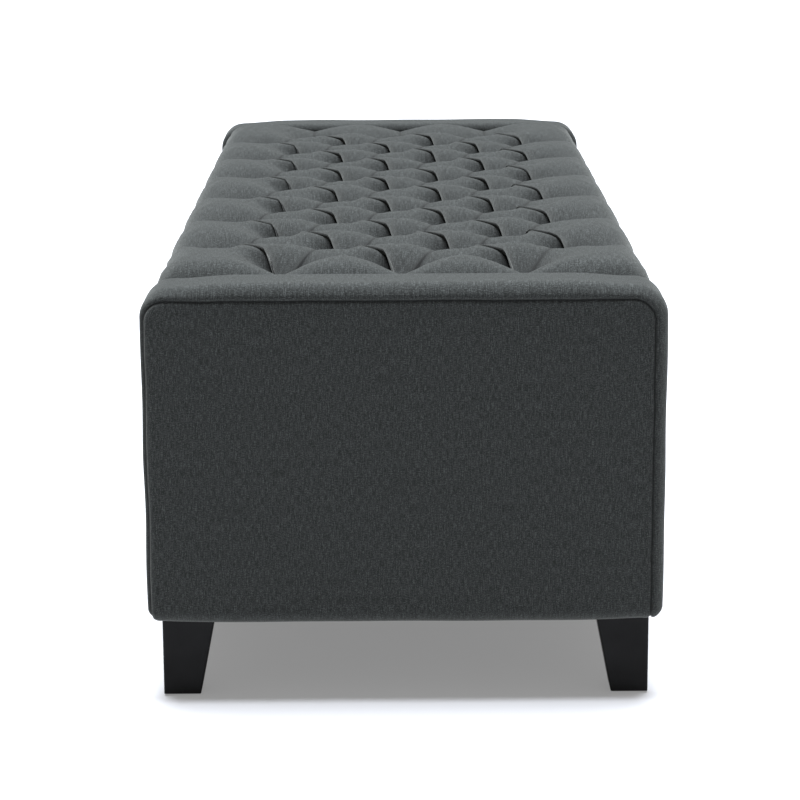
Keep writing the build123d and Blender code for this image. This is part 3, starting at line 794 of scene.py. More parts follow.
def close_with_rings(verts, faces, extras, rings):
    """Carries a cover's open edge through more rings of points, then closes it flat.

    rings are functions from the hem's points to the next ring's. extras are per-vertex arrays to extend.
    """
    loop = boundary_loop(faces, len(verts))
    faces = [list(f) for f in faces]
    hem = verts[loop]
    current = loop
    for ring in rings:
        points = ring(hem)
        first = len(verts)
        verts = np.vstack([verts, points])
        extras = [np.concatenate([e, e[loop]]) for e in extras]
        fresh = list(range(first, first + len(points)))
        for k in range(len(current)):
            n = (k + 1) % len(current)
            faces.append([current[n], current[k], fresh[k], fresh[n]])
        current = fresh
    faces.append(current[::-1])
    return verts, faces, extras


# ---- Flat upholstered panels ---------------------------------------------------------------------------
def lines_between(low, high, spacing, seams=(), fine=1.1 * MM, reach=20 * MM):
    """Grid lines from low to high, close together beside each seam."""
    fixed = [low, high]
    for seam in seams:
        fixed += [seam + k * fine for k in range(-int(reach / fine), int(reach / fine) + 1)]
    fixed = sorted(f for f in fixed if low <= f <= high)
    lines = []
    for a, b in zip(fixed, fixed[1:]):
        steps = max(1, int(math.ceil((b - a) / spacing - 0.2)))
        lines += list(np.linspace(a, b, steps, endpoint=False))
    return np.unique(np.round(np.array(lines + [high]), 6))


def slow_noise(points, spacing, seed):
    """Smooth random numbers, about -1 to 1, that change over the given distance."""
    source = np.random.default_rng(seed)
    total = np.zeros(len(points))
    for _ in range(7):
        direction = source.normal(0, 1, points.shape[1])
        direction /= np.linalg.norm(direction)
        rate = source.uniform(0.6, 1.5) * 2 * math.pi / spacing
        total += np.sin(points @ direction * rate + source.uniform(0, 2 * math.pi))
    return total / 3.2


def build_end(settings, side):
    """One padded end: a flat face sewn to the strip that runs round it, and the cover turned in inside."""
    name = "right" if side > 0 else "left"
    low, high = node_box(f"{name}_end_cover")
    low[2] -= settings.foot_hang
    core_low, core_high = node_box(f"{name}_end_inner_panel")
    rail_low, rail_high = node_box("front_rail_cover")
    rail_back = node_box("back_rail_cover")[1]
    thickness, foot, edge = high[0] - low[0], 4 * MM, settings.end_roll
    half_y, middle_z = high[1], (high[2] + low[2]) / 2
    core = (low[1], high[1], low[2] - middle_z, high[2] - middle_z)
    wall = thickness - edge - foot
    beyond = edge * math.pi / 2 - edge + wall + foot * math.pi / 2 + 2 * MM
    seam_front = core[0] + settings.seam_front
    if settings.seam_front < edge:
        seam_front = core[0] + edge - edge * math.asin((edge - settings.seam_front) / edge)
    seam_back, seam_top = core[1] - settings.seam_back, core[3] - settings.seam_top
    us = lines_between(core[0] - beyond, core[1] + beyond, 7 * MM, (seam_front, seam_back))
    vs = lines_between(core[2] - beyond, core[3] + beyond, 7 * MM, (seam_top,))
    u, v = (g.ravel() for g in np.meshgrid(us, vs, indexing="ij"))
    flat = np.stack([u, v], axis=1)
    corner = np.where(v > 0, settings.end_top_corner, settings.end_foot_corner)
    # How far inside the seam each point is, measured where the cloth lies on the end. The seam runs up one
    # side, over the top and down the other, a little unevenly.
    round_seam = settings.seam_corner
    laid = wrap(flat, core, corner, edge, thickness, foot)
    face_front, face_back = core[0] + settings.seam_front, core[1] - settings.seam_back
    qx = np.abs(laid[:, 0] - (face_front + face_back) / 2) - ((face_back - face_front) / 2 - round_seam)
    qy = laid[:, 1] - (seam_top - round_seam)
    inside = np.where(
        (qx > 0) & (qy > 0),
        round_seam - np.hypot(np.maximum(qx, 0), np.maximum(qy, 0)),
        round_seam - np.maximum(qx, qy),
    )
    inside = inside + 0.35 * MM * slow_noise(flat, 0.05, 11)
    out = np.maximum(np.maximum(np.abs(u) - half_y, np.abs(v) - core[3]), 0)
    groove = np.exp(-((inside / (1.3 * MM)) ** 2))
    drop = settings.seam_depth * groove
    # The face is padded and crowns a little; the strip rides up beside the seam where the turnings lie.
    drop -= settings.face_crown * (1 - np.exp(-np.maximum(inside, 0) / 0.04)) * (inside > 0)
    drop -= 0.7 * MM * np.exp(-(((inside + 4 * MM) / (3 * MM)) ** 2)) * (1 - smoothstep(out, 2 * MM, 9 * MM))
    drop -= 0.5 * MM * np.exp(-(((inside - 4 * MM) / (3.5 * MM)) ** 2))
    drop -= 0.35 * MM * slow_noise(flat, 0.12, 5)
    settle_down = 1 - smoothstep(out, 0.5 * wall, wall)
    drop = drop * settle_down
    # The strip over the top is the fullest part, right up to the lid.
    strip_end = edge * (math.pi / 2 - 1) + wall
    over_top = smoothstep(v, core[3] - 16 * MM, core[3] + 4 * MM)
    over_top = over_top * (1 - smoothstep(v - core[3], strip_end - 4 * MM, strip_end + 5 * MM))
    drop -= settings.top_crown * over_top * (1 - smoothstep(np.abs(u), half_y - 90 * MM, half_y - 20 * MM))
    points = wrap(flat, core, corner, edge, thickness, foot, drop)
    outer_x = abs(high[0] if side > 0 else low[0])
    verts = np.stack([side * (outer_x + points[:, 2]), points[:, 0], points[:, 1] + middle_z], axis=1)
    ids = np.arange(len(u)).reshape(len(us), len(vs))
    faces = []
    for i in range(len(us) - 1):
        for j in range(len(vs) - 1):
            face = [ids[i, j], ids[i + 1, j], ids[i + 1, j + 1], ids[i, j + 1]]
            faces.append(face if side > 0 else face[::-1])
    # Painted shade along the seam's groove.
    fold = 0.95 * np.exp(-((inside / (1.0 * MM)) ** 2)) * settle_down
    # The cover stops round the opening for the box, and the pad is closed behind the inner panel.
    inner_x = low[0] if side > 0 else high[0]
    behind_x = (core_low[0] + core_high[0]) / 2
    window = (rail_low[1], rail_back[1], low[2] + settings.foot_hang + 1.5 * MM, rail_high[2])

    def to_window(x):
        def ring(hem):
            points = hem.copy()
            points[:, 0] = x
            points[:, 1] = np.clip(points[:, 1] * 1.05, window[0], window[1])
            points[:, 2] = np.clip(points[:, 2], window[2], window[3])
            return points

        return ring

    verts, faces, (flat, fold) = close_with_rings(
        verts, faces, [flat, fold], [to_window(inner_x), to_window(behind_x)]
    )
    return verts, faces, flat, fold


def rail_profile(settings, side):
    """The outline of a rail's padding in section, as (y, z, cloth distance), starting inside the box."""
    name = "back" if side > 0 else "front"
    low, high = node_box(f"{name}_rail_cover")
    board_low, board_high = node_box(f"{name}_rail_board")
    face, lip = (high[1], low[1]) if side > 0 else (-low[1], -high[1])
    board_outer = board_high[1] if side > 0 else -board_low[1]
    board_inner = board_low[1] if side > 0 else -board_high[1]
    top, bottom = high[2], low[2]
    return_end = top - 30 * MM
    roll, foot = 6 * MM, 4 * MM
    outline = [(lip, z) for z in np.linspace(return_end, top - 3 * MM, 6)]
    for a in np.linspace(0.3, 1.57, 5):
        outline.append((lip + 3 * MM * (1 - math.cos(a)), top - 3 * MM + 3 * MM * math.sin(a)))
    outline += [(y, top) for y in np.linspace(lip + 5 * MM, face - roll - 1 * MM, 5)]
    for a in np.linspace(0, 1.57, 7):
        outline.append((face - roll + roll * math.sin(a), top - roll + roll * math.cos(a)))
    outline += [(face, z) for z in np.linspace(top - roll, bottom + foot, 34)[1:]]
    for a in np.linspace(0.3, 1.57, 5):
        outline.append((face - foot + foot * math.cos(a), bottom + foot - foot * math.sin(a)))
    outline += [(y, bottom) for y in np.linspace(face - foot - 2 * MM, board_inner, 4)]
    covered = len(outline)
    outline += [(board_inner, bottom + 1.5 * MM), (board_outer, bottom + 1.5 * MM)]
    outline += [(board_outer, z) for z in np.linspace(bottom + 1.5 * MM, board_high[2], 12)[1:]]
    outline += [(board_inner, board_high[2]), (board_inner, return_end)]
    outline = np.array(outline)
    travel = np.concatenate([[0], np.cumsum(np.linalg.norm(np.diff(outline, axis=0), axis=1))])
    return outline, travel, covered, (face, top, bottom, board_outer, board_high[2])


def build_rail(settings, side):
    """One padded rail between the ends, with pockets for the hinges if it is the back one."""
    outline, travel, covered, (face, top, bottom, board_outer, board_top) = rail_profile(settings, side)
    name = "back" if side > 0 else "front"
    low, high = node_box(f"{name}_rail_cover")
    pockets = []
    if side > 0:
        for hinge in ("left", "right"):
            hinge_low, hinge_high = node_box(f"{hinge}_hinge_pin")
            pockets.append((hinge_low[0] - 2 * MM, hinge_high[0] + 2 * MM))
    margin = 0.3 * MM
    stops = [low[0] + margin, high[0] - margin]
    for a, b in pockets:
        stops += [a - 1 * MM, a, b, b + 1 * MM]
    stops = sorted(stops)
    xs = []
    for a, b in zip(stops, stops[1:]):
        xs += list(np.linspace(a, b, max(1, int((b - a) / (16 * MM))), endpoint=False))
    xs = np.array(xs + [stops[-1]])
    verts, cloth = [], []
    for x in xs:
        y, z = outline[:, 0], outline[:, 1]
        rise = np.clip((z - bottom) / (top - bottom), 0, 1)
        on_face = (np.abs(y - face) < 7 * MM) & (np.arange(len(y)) < covered)
        ends = 1 - np.exp(-min(x - xs[0], xs[-1] - x) / (25 * MM))
        belly = settings.rail_crown * np.sin(math.pi * rise) ** 0.7 * ends
        ripple = slow_noise(np.stack([np.full(len(y), x), z], axis=1), 0.16, 21 + side) * 0.5 * MM
        y = np.where(on_face, y + belly + ripple * np.sin(math.pi * rise) * ends, y)
        if any(a - 0.1 * MM <= x <= b + 0.1 * MM for a, b in pockets):
            floor = np.where(y > board_outer + 0.1 * MM, board_top - 0.5 * MM, board_top - 0.05 * MM)
            z = np.where(np.arange(len(y)) < covered, np.minimum(z, floor), z)
        verts.append(np.stack([np.full(len(y), x), side * y, z], axis=1))
        cloth.append(np.stack([np.full(len(y), x), travel], axis=1))
    count = len(outline)
    faces = []
    for i in range(len(xs) - 1):
        for k in range(count):
            n = (k + 1) % count
            face_ids = [i * count + k, i * count + n, (i + 1) * count + n, (i + 1) * count + k]
            faces.append(face_ids if side < 0 else face_ids[::-1])
    first = list(range(count))
    last = [(len(xs) - 1) * count + k for k in range(count)]
    faces.append(first[::-1] if side < 0 else first)
    faces.append(last if side < 0 else last[::-1])
    return np.vstack(verts), faces, np.vstack(cloth), np.zeros(len(xs) * count)


# ---- The dust sheet ------------------------------------------------------------------------------------
def build_dust_sheet(settings):
    """The thin cloth under the bench: held flat round its edge, gathered a little at each staple, and
    sagging towards its middle."""
    low, high = node_box("dust_cover")
    size = high - low
    u, v = np.meshgrid(
        np.linspace(low[0], high[0], int(size[0] / (9 * MM)) + 1),
        np.linspace(low[1], high[1], int(size[1] / (9 * MM)) + 1),
        indexing="ij",
    )
    to_ends = np.minimum(u - low[0], high[0] - u)
    to_sides = np.minimum(v - low[1], high[1] - v)
    inside = np.minimum(to_ends, to_sides)
    middle = np.sin(math.pi * (u - low[0]) / size[0]) * np.sin(math.pi * (v - low[1]) / size[1])
    drop = settings.dust_sag * np.sqrt(np.clip(middle, 0, 1)) * smoothstep(inside, 12 * MM, 70 * MM)
    along = np.where(to_sides < to_ends, u, v)
    gathers = 0.5 * MM * (1 - np.cos(2 * math.pi * along / settings.staple_spacing))
    drop += gathers * smoothstep(inside, 9 * MM, 16 * MM) * np.exp(-inside / (30 * MM))
    flat = np.stack([u.ravel(), v.ravel()], axis=1)
    slack = slow_noise(flat, 0.09, 11) * smoothstep(inside.ravel(), 12 * MM, 40 * MM)
    drop = np.maximum(drop.ravel() + 0.5 * MM * slack, 0)
    verts = np.vstack([
        np.column_stack([flat, low[2] - drop]),
        np.column_stack([flat, high[2] - drop]),
    ])
    under = np.arange(u.size).reshape(u.shape)
    faces = []
    for i in range(u.shape[0] - 1):
        for j in range(u.shape[1] - 1):
            ring = [under[i, j], under[i, j + 1], under[i + 1, j + 1], under[i + 1, j]]
            faces += [ring, [k + u.size for k in ring[::-1]]]
    rim = np.concatenate([under[:, 0], under[-1, 1:], under[-2::-1, -1], under[0, -2:0:-1]])
    for a, b in zip(rim, np.roll(rim, -1)):
        faces.append([a, b, b + u.size, a + u.size])
    return verts, faces, np.vstack([flat, flat])


# ---- Staples, set out by geometry nodes ----------------------------------------------------------------
def staple_tree():
    """A node tree that sets wire staples at an even spacing along the edges it is given."""
    tree = bpy.data.node_groups.new("staple_row", "GeometryNodeTree")
    face = tree.interface
    face.new_socket("Geometry", in_out="INPUT", socket_type="NodeSocketGeometry")
    for name, value in (("Spacing", 0.04), ("Crown", 0.01), ("Wire", 0.0006), ("Turn", 0.2)):
        face.new_socket(name, in_out="INPUT", socket_type="NodeSocketFloat").default_value = value
    face.new_socket("Seed", in_out="INPUT", socket_type="NodeSocketInt").default_value = 3
    face.new_socket("Material", in_out="INPUT", socket_type="NodeSocketMaterial")
    face.new_socket("Geometry", in_out="OUTPUT", socket_type="NodeSocketGeometry")
    given = add_node(tree, "NodeGroupInput").outputs
    path = add_node(tree, "GeometryNodeMeshToCurve", {"Mesh": given["Geometry"]})
    points = add_node(
        tree, "GeometryNodeCurveToPoints", {"Curve": path.outputs[0], "Length": given["Spacing"]}, mode="LENGTH"
    )
    crown = add_node(tree, "ShaderNodeCombineXYZ", {"X": given["Wire"], "Y": given["Crown"], "Z": given["Wire"]})
    wire = add_node(
        tree, "GeometryNodeMeshCube", {"Size": crown.outputs[0]}, Vertices_X=2, Vertices_Y=5, Vertices_Z=2
    )
    # Each staple is turned a little either way by chance. Sockets 2 and 3 are the float's low and high ends.
    turn = add_node(tree, "FunctionNodeRandomValue", {"Seed": given["Seed"]}, data_type="FLOAT")
    low = add_node(tree, "ShaderNodeMath", {0: given["Turn"]}, operation="MULTIPLY")
    low.inputs[1].default_value = -1.0
    tree.links.new(low.outputs[0], turn.inputs[2])
    tree.links.new(given["Turn"], turn.inputs[3])
    angle = add_node(tree, "ShaderNodeCombineXYZ", {"Z": turn.outputs[1]})
    placed = add_node(
        tree, "GeometryNodeInstanceOnPoints",
        {
            "Points": points.outputs["Points"],
            "Instance": wire.outputs["Mesh"],
            "Rotation": points.outputs["Rotation"],
        },
    )
    turned = add_node(
        tree, "GeometryNodeRotateInstances", {"Instances": placed.outputs[0], "Rotation": angle.outputs[0]}
    )
    real = add_node(tree, "GeometryNodeRealizeInstances", {"Geometry": turned.outputs[0]})
    painted = add_node(
        tree, "GeometryNodeSetMaterial", {"Geometry": real.outputs[0], "Material": given["Material"]}
    )
    add_node(tree, "NodeGroupOutput", {"Geometry": painted.outputs[0]})
    return tree


def staple_frame(name, box, z, inset, settings, seed):
    """Staples round a rectangle, as a plain mesh."""
    (x0, y0), (x1, y1) = (box[0] + inset, box[1] + inset), (box[2] - inset, box[3] - inset)
    corners = [(x0, y0, z), (x1, y0, z), (x1, y1, z), (x0, y1, z)]
    mesh = bpy.data.meshes.new(name + "_line")
    mesh.from_pydata(corners, [(0, 1), (1, 2), (2, 3), (3, 0)], [])
    line = bpy.data.objects.new(name + "_line", mesh)
    bpy.context.scene.collection.objects.link(line)
    tree = bpy.data.node_groups.get("staple_row") or staple_tree()
    modifier = line.modifiers.new("staples", "NODES")
    modifier.node_group = tree
    names = {item.name: item.identifier for item in tree.interface.items_tree if item.in_out == "INPUT"}
    modifier[names["Spacing"]] = settings.staple_spacing
    modifier[names["Crown"]] = settings.staple_crown
    modifier[names["Seed"]] = seed
    modifier[names["Material"]] = finish_for("zinc_plated_steel")
    line.update_tag()
    graph = bpy.context.evaluated_depsgraph_get()
    made = bpy.data.meshes.new_from_object(line.evaluated_get(graph))
    bpy.data.objects.remove(line)
    obj = bpy.data.objects.new(name, made)
    bpy.context.scene.collection.objects.link(obj)
    if len(made.polygons) < 100:
        raise RuntimeError(f"{name} came out with {len(made.polygons)} faces")
    return obj


# ---- Settings ------------------------------------------------------------------------------------------
def distance(label, default, words, low=0.0, high=1.0):
    """A length that the user can change, in metres."""
    return FloatProperty(
        name=label, description=words, default=default, min=low, max=high, subtype="DISTANCE", unit="LENGTH",
        precision=4,
    )


class BenchLidSettings(bpy.types.PropertyGroup):
    """Sizes of the tufted lid."""

    tuft_rows: IntProperty(name="Tuft rows", description="Rows of the main grid along the lid", default=7, min=2)
    tufts_per_row: IntProperty(
        name="Tufts in a row", description="Tufts across the lid in the main grid", default=3, min=1
    )
    tuft_depth: distance("Tuft depth", 0.037, "From the crest of a puff down to a tuft")
    button_reach: distance("Button reach", 0.005, "Radius of the flat at the foot of a tuft")
    funnel: distance("Funnel", 0.031, "Distance from a tuft over which a pleat climbs to its crest")
    bowl: distance("Bowl", 0.070, "Distance from a tuft over which the cover climbs between its pleats")
    funnel_power: FloatProperty(
        name="Funnel shape", description="Lower is steeper beside the tuft", default=1.0
    )
    saddle: distance("Saddle", 0.010, "How far a puff dips between two tufts that stand side by side")
    saddle_reach: distance("Saddle reach", 0.019, "How wide that dip is, to each side")
    crest_rise: distance("Crest rise", 0.0045, "How far the crests stand over the nominal top of the lid")
    crest_tilt: distance("Crest tilt", 0.003, "How much higher the crests stand at one end", -1.0)
    crease_depth: distance("Crease depth", 0.0075, "From the crest of a puff down to the middle of a pleat")
    near_hand: FloatProperty(
        name="Lapped share", description="Share of that depth in the pleats where one puff laps over", default=0.45
    )
    side_crease: distance("Side crease depth", 0.0155, "Depth of the pleats that run out over the long sides")
    end_crease: distance("End crease depth", 0.019, "Depth of the pleats that run out to the right end")
    far_end_crease: distance("Left end crease depth", 0.011, "Depth of the pleats that run out to the left end")
    crease_start: distance("Crease fades from", 0.042, "Distance from a tuft at which a side pleat starts to fade")
    crease_end: distance("Crease fades to", 0.092, "Distance from a tuft at which a side pleat has faded")
    puff_roll: distance("Puff roll", 0.046, "Distance from a pleat over which a puff rounds off")
    side_roll: distance("Side roll", 0.056, "Distance from a side pleat over which a puff rounds off")
    lip_length: distance("Lip length", 0.0042, "How far one puff laps over the next at a pleat")
    lip_rise: distance("Lip rise", 0.0018, "Height of the lapping edge over its puff")
    lip_reach: distance("Lip reach", 0.008, "Distance over which the lapping edge stands up")
    cleft: distance("Cleft", 0.0055, "Depth of the fold under a lapping edge")
    cleft_width: distance("Cleft width", 0.006, "Distance over which the lower puff rolls into the fold")
    edge_roll: distance("Edge roll", 0.026, "Radius of the lid's top edges")
    side_draw: distance("Side draw", 0.0035, "How far the cover draws the long sides in before it swells")
    pucker: distance("Puckers", 0.00045, "Height of the small gathers round each tuft")
    wander: distance("Tuft wander", 0.0017, "How far tufts stray from their grid")
    side_spacing: distance("Side spacing", 0.006, "Spacing of the mesh down the sides")
    swell: distance("Swell", 0.004, "The most that the cover's puffs blow out")
    seed: IntProperty(name="Seed", description="Changes the chance differences between puffs", default=4)


class BenchPanelSettings(bpy.types.PropertyGroup):
    """Sizes of the padded ends and rails."""

    end_roll: distance("End roll", 0.012, "Radius of the outer edges of a padded end")
    end_top_corner: distance("Top corner", 0.029, "Radius of an end's upper corners, seen from the end")
    end_foot_corner: distance("Foot corner", 0.0125, "Radius of an end's lower corners, seen from the end")
    seam_top: distance("Seam at the top", 0.0125, "From the top of an end to its seam")
    seam_back: distance("Seam at the back", 0.0125, "From the back of an end to its seam")
    seam_front: distance("Seam at the front", 0.003, "From the front of an end to its seam")
    seam_corner: distance("Seam corner", 0.021, "Radius at which the seam turns down the sides")
    seam_depth: distance("Seam depth", 0.0016, "How far the seam pulls in")
    face_crown: distance("Face crown", 0.002, "How far the end's face stands out at its middle", -1.0)
    foot_hang: distance("Foot hang", 0.003, "How far the padding hangs below the end's frame")
    top_crown: distance("Top crown", 0.004, "How far the strip over an end stands up along its middle")
    rail_crown: distance("Rail crown", 0.0025, "How far the rail's face stands out at its middle")
    staple_spacing: distance("Staple spacing", 0.038, "Distance between staples under the bench")
    staple_crown: distance("Staple crown", 0.0105, "Width of a staple")
    dust_sag: distance("Dust sheet sag", 0.004, "How far the dust sheet hangs down in its middle")


class BenchFinishSettings(bpy.types.PropertyGroup):
    """Colours of the finishes, as sRGB hex, and the size of the weave."""

    thread_pitch: distance(
        "Thread pitch", 0.0009, "Spacing of the threads, a little coarser than life so that they show"
    )
    dark_yarn: StringProperty(name="Dark yarn", description="Darkest yarn of the cover", default="#111312")
    mid_yarn: StringProperty(name="Middle yarn", description="Commonest yarn of the cover", default="#222423")
    pale_yarn: StringProperty(name="Pale yarn", description="Palest slubs of the cover", default="#444746")
    # The colour that the painted shade in folds and seams darkens the cover towards.
    fold_shade: StringProperty(
        name="Fold shade", description="Cover colour down in folds and seams", default="#060707"
    )
    lining_colour: StringProperty(name="Lining", description="Colour of the lining cloth", default="#151516")
    leg_colour: StringProperty(name="Legs", description="Colour of the lacquered legs", default="#050505")


class BenchStageSettings(bpy.types.PropertyGroup):
    """The floor, the lights and the camera."""

    focal_length: FloatProperty(name="Focal length", description="Camera lens", default=115.0, unit="CAMERA", min=10)
    camera_place: FloatVectorProperty(
        name="Camera place", description="Where the camera stands",
        default=(2.971, -0.010, 0.8465), subtype="TRANSLATION",
    )
    camera_pitch: FloatProperty(
        name="Camera pitch", description="How far the camera looks down", default=math.radians(13.17), subtype="ANGLE"
    )
    camera_yaw: FloatProperty(
        name="Camera yaw", description="How far the camera turns to its right",
        default=math.radians(0.14), subtype="ANGLE",
    )
    camera_roll: FloatProperty(
        name="Camera roll", description="How far the camera leans", default=math.radians(-0.32), subtype="ANGLE"
    )
    top_light: FloatProperty(name="Top light", description="Strength of the overhead light", default=11.8, min=0)
    light_lean: FloatProperty(
        name="Light lean", description="Lean of the overhead light away from the camera",
        default=math.radians(6), subtype="ANGLE",
    )
    # Painted light: the floor's own glow, which lifts the shade under the bench.
    floor_glow: FloatProperty(
        name="Floor glow", description="Light that comes up through the floor", default=0.24, min=0
    )
    floor_colour: StringProperty(name="Floor", description="Colour of the floor", default="#ACACAE")


# ---- Operators -----------------------------------------------------------------------------------------
class BENCH_OT_lid_cushion(bpy.types.Operator):
    """Build the tufted cushion of the lid"""

    bl_idname = "bench.lid_cushion"
    bl_label = "Tufted lid"

    def execute(self, context):
        settings = context.scene.bench_lid
        verts, faces, cloth, fold, free = build_tufted_lid(settings)
        low, high = node_box("lid_cover")
        lining_high = node_box("lid_lining")[1]
        board_bottom = node_box("lid_board")[0][2]

        def to_window(z):
            def ring(hem):
                points = hem.copy()
                points[:, 0] *= lining_high[0] / np.abs(hem[:, 0]).max()
                points[:, 1] *= lining_high[1] / np.abs(hem[:, 1]).max()
                points[:, 2] = z
                return points

            return ring

        verts, faces, (cloth, fold, free) = close_with_rings(
            verts, faces, [cloth, fold, free], [to_window(low[2]), to_window(board_bottom - 0.1 * MM)]
        )
        obj = make_object("lid_cushion", verts, faces, cloth[:, ::-1], fold)
        relax(obj, free, LID_PRESSURE, settings.swell, CLOTH_FRAMES)
        points = points_of(obj)
        # Room for the hinges, whose leaves lie flat against the lid's board.
        for name in ("left", "right"):
            leaf_low, leaf_high = node_box(f"{name}_hinge_lid_leaf")
            gap = 3 * MM
            near = (points[:, 0] > leaf_low[0] - gap) & (points[:, 0] < leaf_high[0] + gap)
            near &= (points[:, 1] > leaf_low[1] - gap) & (points[:, 2] < leaf_high[2] + 8 * MM)
            points[near, 2] = np.maximum(points[near, 2], leaf_high[2] + 0.9 * MM)
        # The lid keeps clear of the padded ends.
        points[:, 0] = np.clip(points[:, 0], low[0] - 0.8 * MM, high[0] + 0.8 * MM)
        set_points(obj, points)
        settle(obj, body_holding("lid_cover"), "linen_weave", "lid_cover", "lid_foam")
        return {"FINISHED"}


class BENCH_OT_end_cushions(bpy.types.Operator):
    """Build the two padded ends"""

    bl_idname = "bench.end_cushions"
    bl_label = "Padded ends"

    def execute(self, context):
        settings = context.scene.bench_panels
        for name, side in (("left", -1), ("right", 1)):
            verts, faces, cloth, fold = build_end(settings, side)
            obj = make_object(f"{name}_end_cushion", verts, faces, cloth, fold)
            cover = f"{name}_end_cover"
            settle(obj, body_holding(cover), "linen_weave", cover, f"{name}_end_foam")
        return {"FINISHED"}


class BENCH_OT_rail_cushions(bpy.types.Operator):
    """Build the padded front and back rails"""

    bl_idname = "bench.rail_cushions"
    bl_label = "Padded rails"

    def execute(self, context):
        settings = context.scene.bench_panels
        for name, side in (("front", -1), ("back", 1)):
            verts, faces, cloth, fold = build_rail(settings, side)
            obj = make_object(f"{name}_rail_cushion", verts, faces, cloth, fold)
            cover = f"{name}_rail_cover"
            settle(obj, body_holding(cover), "linen_weave", cover, f"{name}_rail_foam")
        return {"FINISHED"}


class BENCH_OT_dust_sheet(bpy.types.Operator):
    """Stretch the dust sheet under the bench"""

    bl_idname = "bench.dust_sheet"
    bl_label = "Dust sheet"

    def execute(self, context):
        verts, faces, cloth = build_dust_sheet(context.scene.bench_panels)
        obj = make_object("dust_sheet", verts, faces, cloth)
        settle(obj, body_holding("dust_cover"), "lining_cloth", "dust_cover")
        return {"FINISHED"}


class BENCH_OT_staples(bpy.types.Operator):
    """Set the staples that hold the cloth under the bench and under the lid"""

    bl_idname = "bench.staples"
    bl_label = "Staples"

    def execute(self, context):
        settings = context.scene.bench_panels
        for node, inset, seed in (("dust_cover", 0.007, 3), ("lid_lining", -0.012, 5)):
            low, high = node_box(node)
            if node == "lid_lining":
                z = node_box("lid_cover")[0][2] - 0.1 * MM
            else:
                z = low[2] - 0.2 * MM
            obj = staple_frame(f"{node}_staples", (low[0], low[1], high[0], high[1]), z, inset, settings, seed)
            settle(obj, body_holding(node), "zinc_plated_steel")
        return {"FINISHED"}


class BENCH_OT_finishes(bpy.types.Operator):
    """Give every CAD node that still shows its finish"""

    bl_idname = "bench.finishes"
    bl_label = "Frame, legs and hardware"

    def execute(self, context):
        slots = {part["node"]: part["material_slot"] for part in frame["record"]["subparts"]}
        for node, obj in frame["nodes"].items():
            material = finish_for(slots[node])
            if not obj.data.materials:
                obj.data.materials.append(material)
            for number in range(len(obj.data.materials)):
                obj.data.materials[number] = material
        return {"FINISHED"}


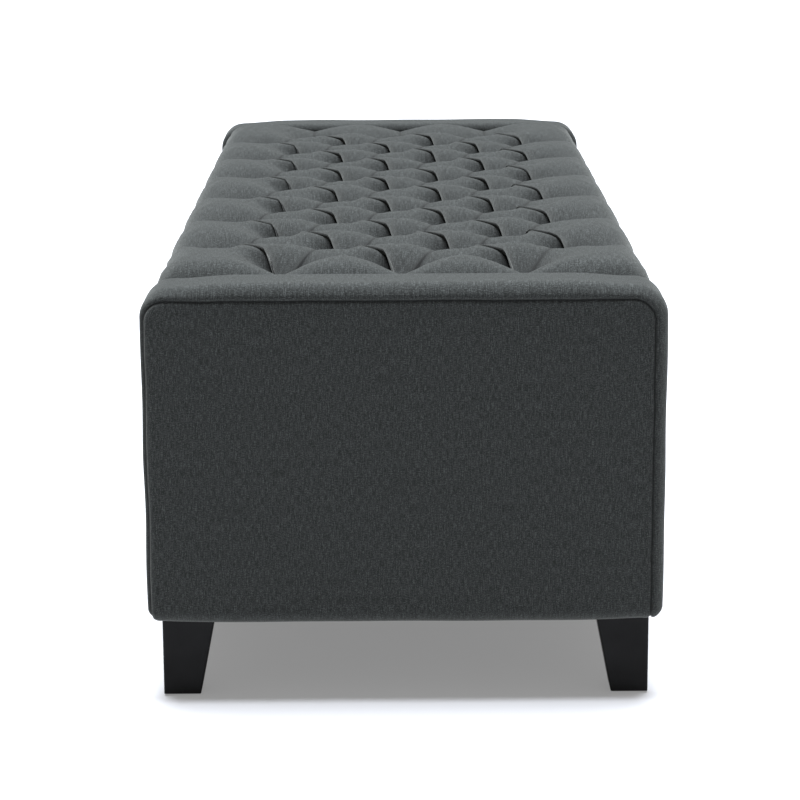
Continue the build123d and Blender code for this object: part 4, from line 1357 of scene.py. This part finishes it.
class BENCH_OT_stage(bpy.types.Operator):
    """Lay the floor, and set the lights and the camera"""

    bl_idname = "bench.stage"
    bl_label = "Floor, lights and camera"

    def execute(self, context):
        settings = context.scene.bench_stage
        scene = context.scene
        scene.view_settings.view_transform = "Standard"
        scene.view_settings.look = "None"
        scene.view_settings.exposure = 0.0
        floor = make_object(
            "floor", [(-20, -20, 0), (20, -20, 0), (20, 20, 0), (-20, 20, 0)], [(0, 1, 2, 3)]
        )
        material, tree, surface = new_material("studio_floor", Roughness=0.6, Specular_IOR_Level=0.2)
        surface.inputs["Base Color"].default_value = colour(settings.floor_colour)
        # Painted light: the floor itself glows a little, which keeps the shade under the bench pale.
        surface.inputs["Emission Color"].default_value = (1, 1, 1, 1)
        surface.inputs["Emission Strength"].default_value = settings.floor_glow
        floor.data.materials.append(material)

        world = bpy.data.worlds.new("studio")
        scene.world = world
        world.use_nodes = True
        tree = world.node_tree
        tree.nodes.clear()
        # Near white all round, a little warm, and brighter overhead. What the camera sees of it is plain white.
        place = add_node(tree, "ShaderNodeTexCoord").outputs["Generated"]
        height = add_node(tree, "ShaderNodeSeparateXYZ", {"Vector": place}).outputs["Z"]
        glow = add_node(
            tree, "ShaderNodeMapRange", {"Value": height}, From_Min=0.0, From_Max=0.9, To_Min=0.22, To_Max=0.3
        ).outputs[0]
        lit = add_node(tree, "ShaderNodeBackground", {"Strength": glow}, Color=(1.0, 0.985, 0.95, 1))
        seen = add_node(tree, "ShaderNodeBackground", Color=(1, 1, 1, 1), Strength=1.2)
        straight = add_node(tree, "ShaderNodeLightPath").outputs["Is Camera Ray"]
        both = add_node(tree, "ShaderNodeMixShader")
        tree.links.new(straight, both.inputs[0])
        tree.links.new(lit.outputs[0], both.inputs[1])
        tree.links.new(seen.outputs[0], both.inputs[2])
        add_node(tree, "ShaderNodeOutputWorld", {"Surface": both.outputs[0]})

        # One wide soft light from overhead, leaning from behind the bench so that the near end is in its shade.
        light = bpy.data.lights.new("overhead", "SUN")
        light.energy = settings.top_light
        light.angle = math.radians(34)
        light.color = (0.96, 1.0, 1.07)
        lamp = bpy.data.objects.new("overhead", light)
        lamp.rotation_euler = (0.0, -settings.light_lean, 0.0)
        scene.collection.objects.link(lamp)

        camera = bpy.data.cameras.new("camera")
        camera.sensor_width = 36.0
        camera.lens = settings.focal_length
        camera.clip_end = 100
        eye = bpy.data.objects.new("camera", camera)
        # The camera looks along -X, pitched down, with its own roll about the line of sight.
        look = Matrix.Rotation(math.radians(90) - settings.camera_yaw, 4, "Z")
        look = look @ Matrix.Rotation(math.radians(90) - settings.camera_pitch, 4, "X")
        look = look @ Matrix.Rotation(settings.camera_roll, 4, "Z")
        eye.matrix_world = Matrix.Translation(settings.camera_place) @ look
        scene.collection.objects.link(eye)
        scene.camera = eye
        return {"FINISHED"}


class BENCH_PT_panel(bpy.types.Panel):
    """Sizes, colours and build steps of the bench"""

    bl_label = "Tufted storage bench"
    bl_idname = "BENCH_PT_panel"
    bl_space_type = "VIEW_3D"
    bl_region_type = "UI"
    bl_category = "Bench"

    def draw(self, context):
        for group in ("bench_lid", "bench_panels", "bench_finish", "bench_stage"):
            box = self.layout.box()
            settings = getattr(context.scene, group)
            for name in settings.__annotations__:
                box.prop(settings, name)
        for operator in OPERATORS:
            self.layout.operator(operator.bl_idname)


OPERATORS = (
    BENCH_OT_lid_cushion,
    BENCH_OT_end_cushions,
    BENCH_OT_rail_cushions,
    BENCH_OT_dust_sheet,
    BENCH_OT_staples,
    BENCH_OT_finishes,
    BENCH_OT_stage,
)
GROUPS = {
    "bench_lid": BenchLidSettings,
    "bench_panels": BenchPanelSettings,
    "bench_finish": BenchFinishSettings,
    "bench_stage": BenchStageSettings,
}


def register():
    for kind in (*GROUPS.values(), *OPERATORS, BENCH_PT_panel):
        bpy.utils.register_class(kind)
    for name, kind in GROUPS.items():
        setattr(bpy.types.Scene, name, PointerProperty(type=kind))


def unregister():
    for name in GROUPS:
        delattr(bpy.types.Scene, name)
    for kind in reversed((*GROUPS.values(), *OPERATORS, BENCH_PT_panel)):
        bpy.utils.unregister_class(kind)


def main():
    register()
    bpy.ops.bench.lid_cushion()
    bpy.ops.bench.end_cushions()
    bpy.ops.bench.rail_cushions()
    bpy.ops.bench.dust_sheet()
    bpy.ops.bench.staples()
    bpy.ops.bench.finishes()
    bpy.ops.bench.stage()
    bpy.context.view_layer.update()


if __name__ == "__main__":
    main()
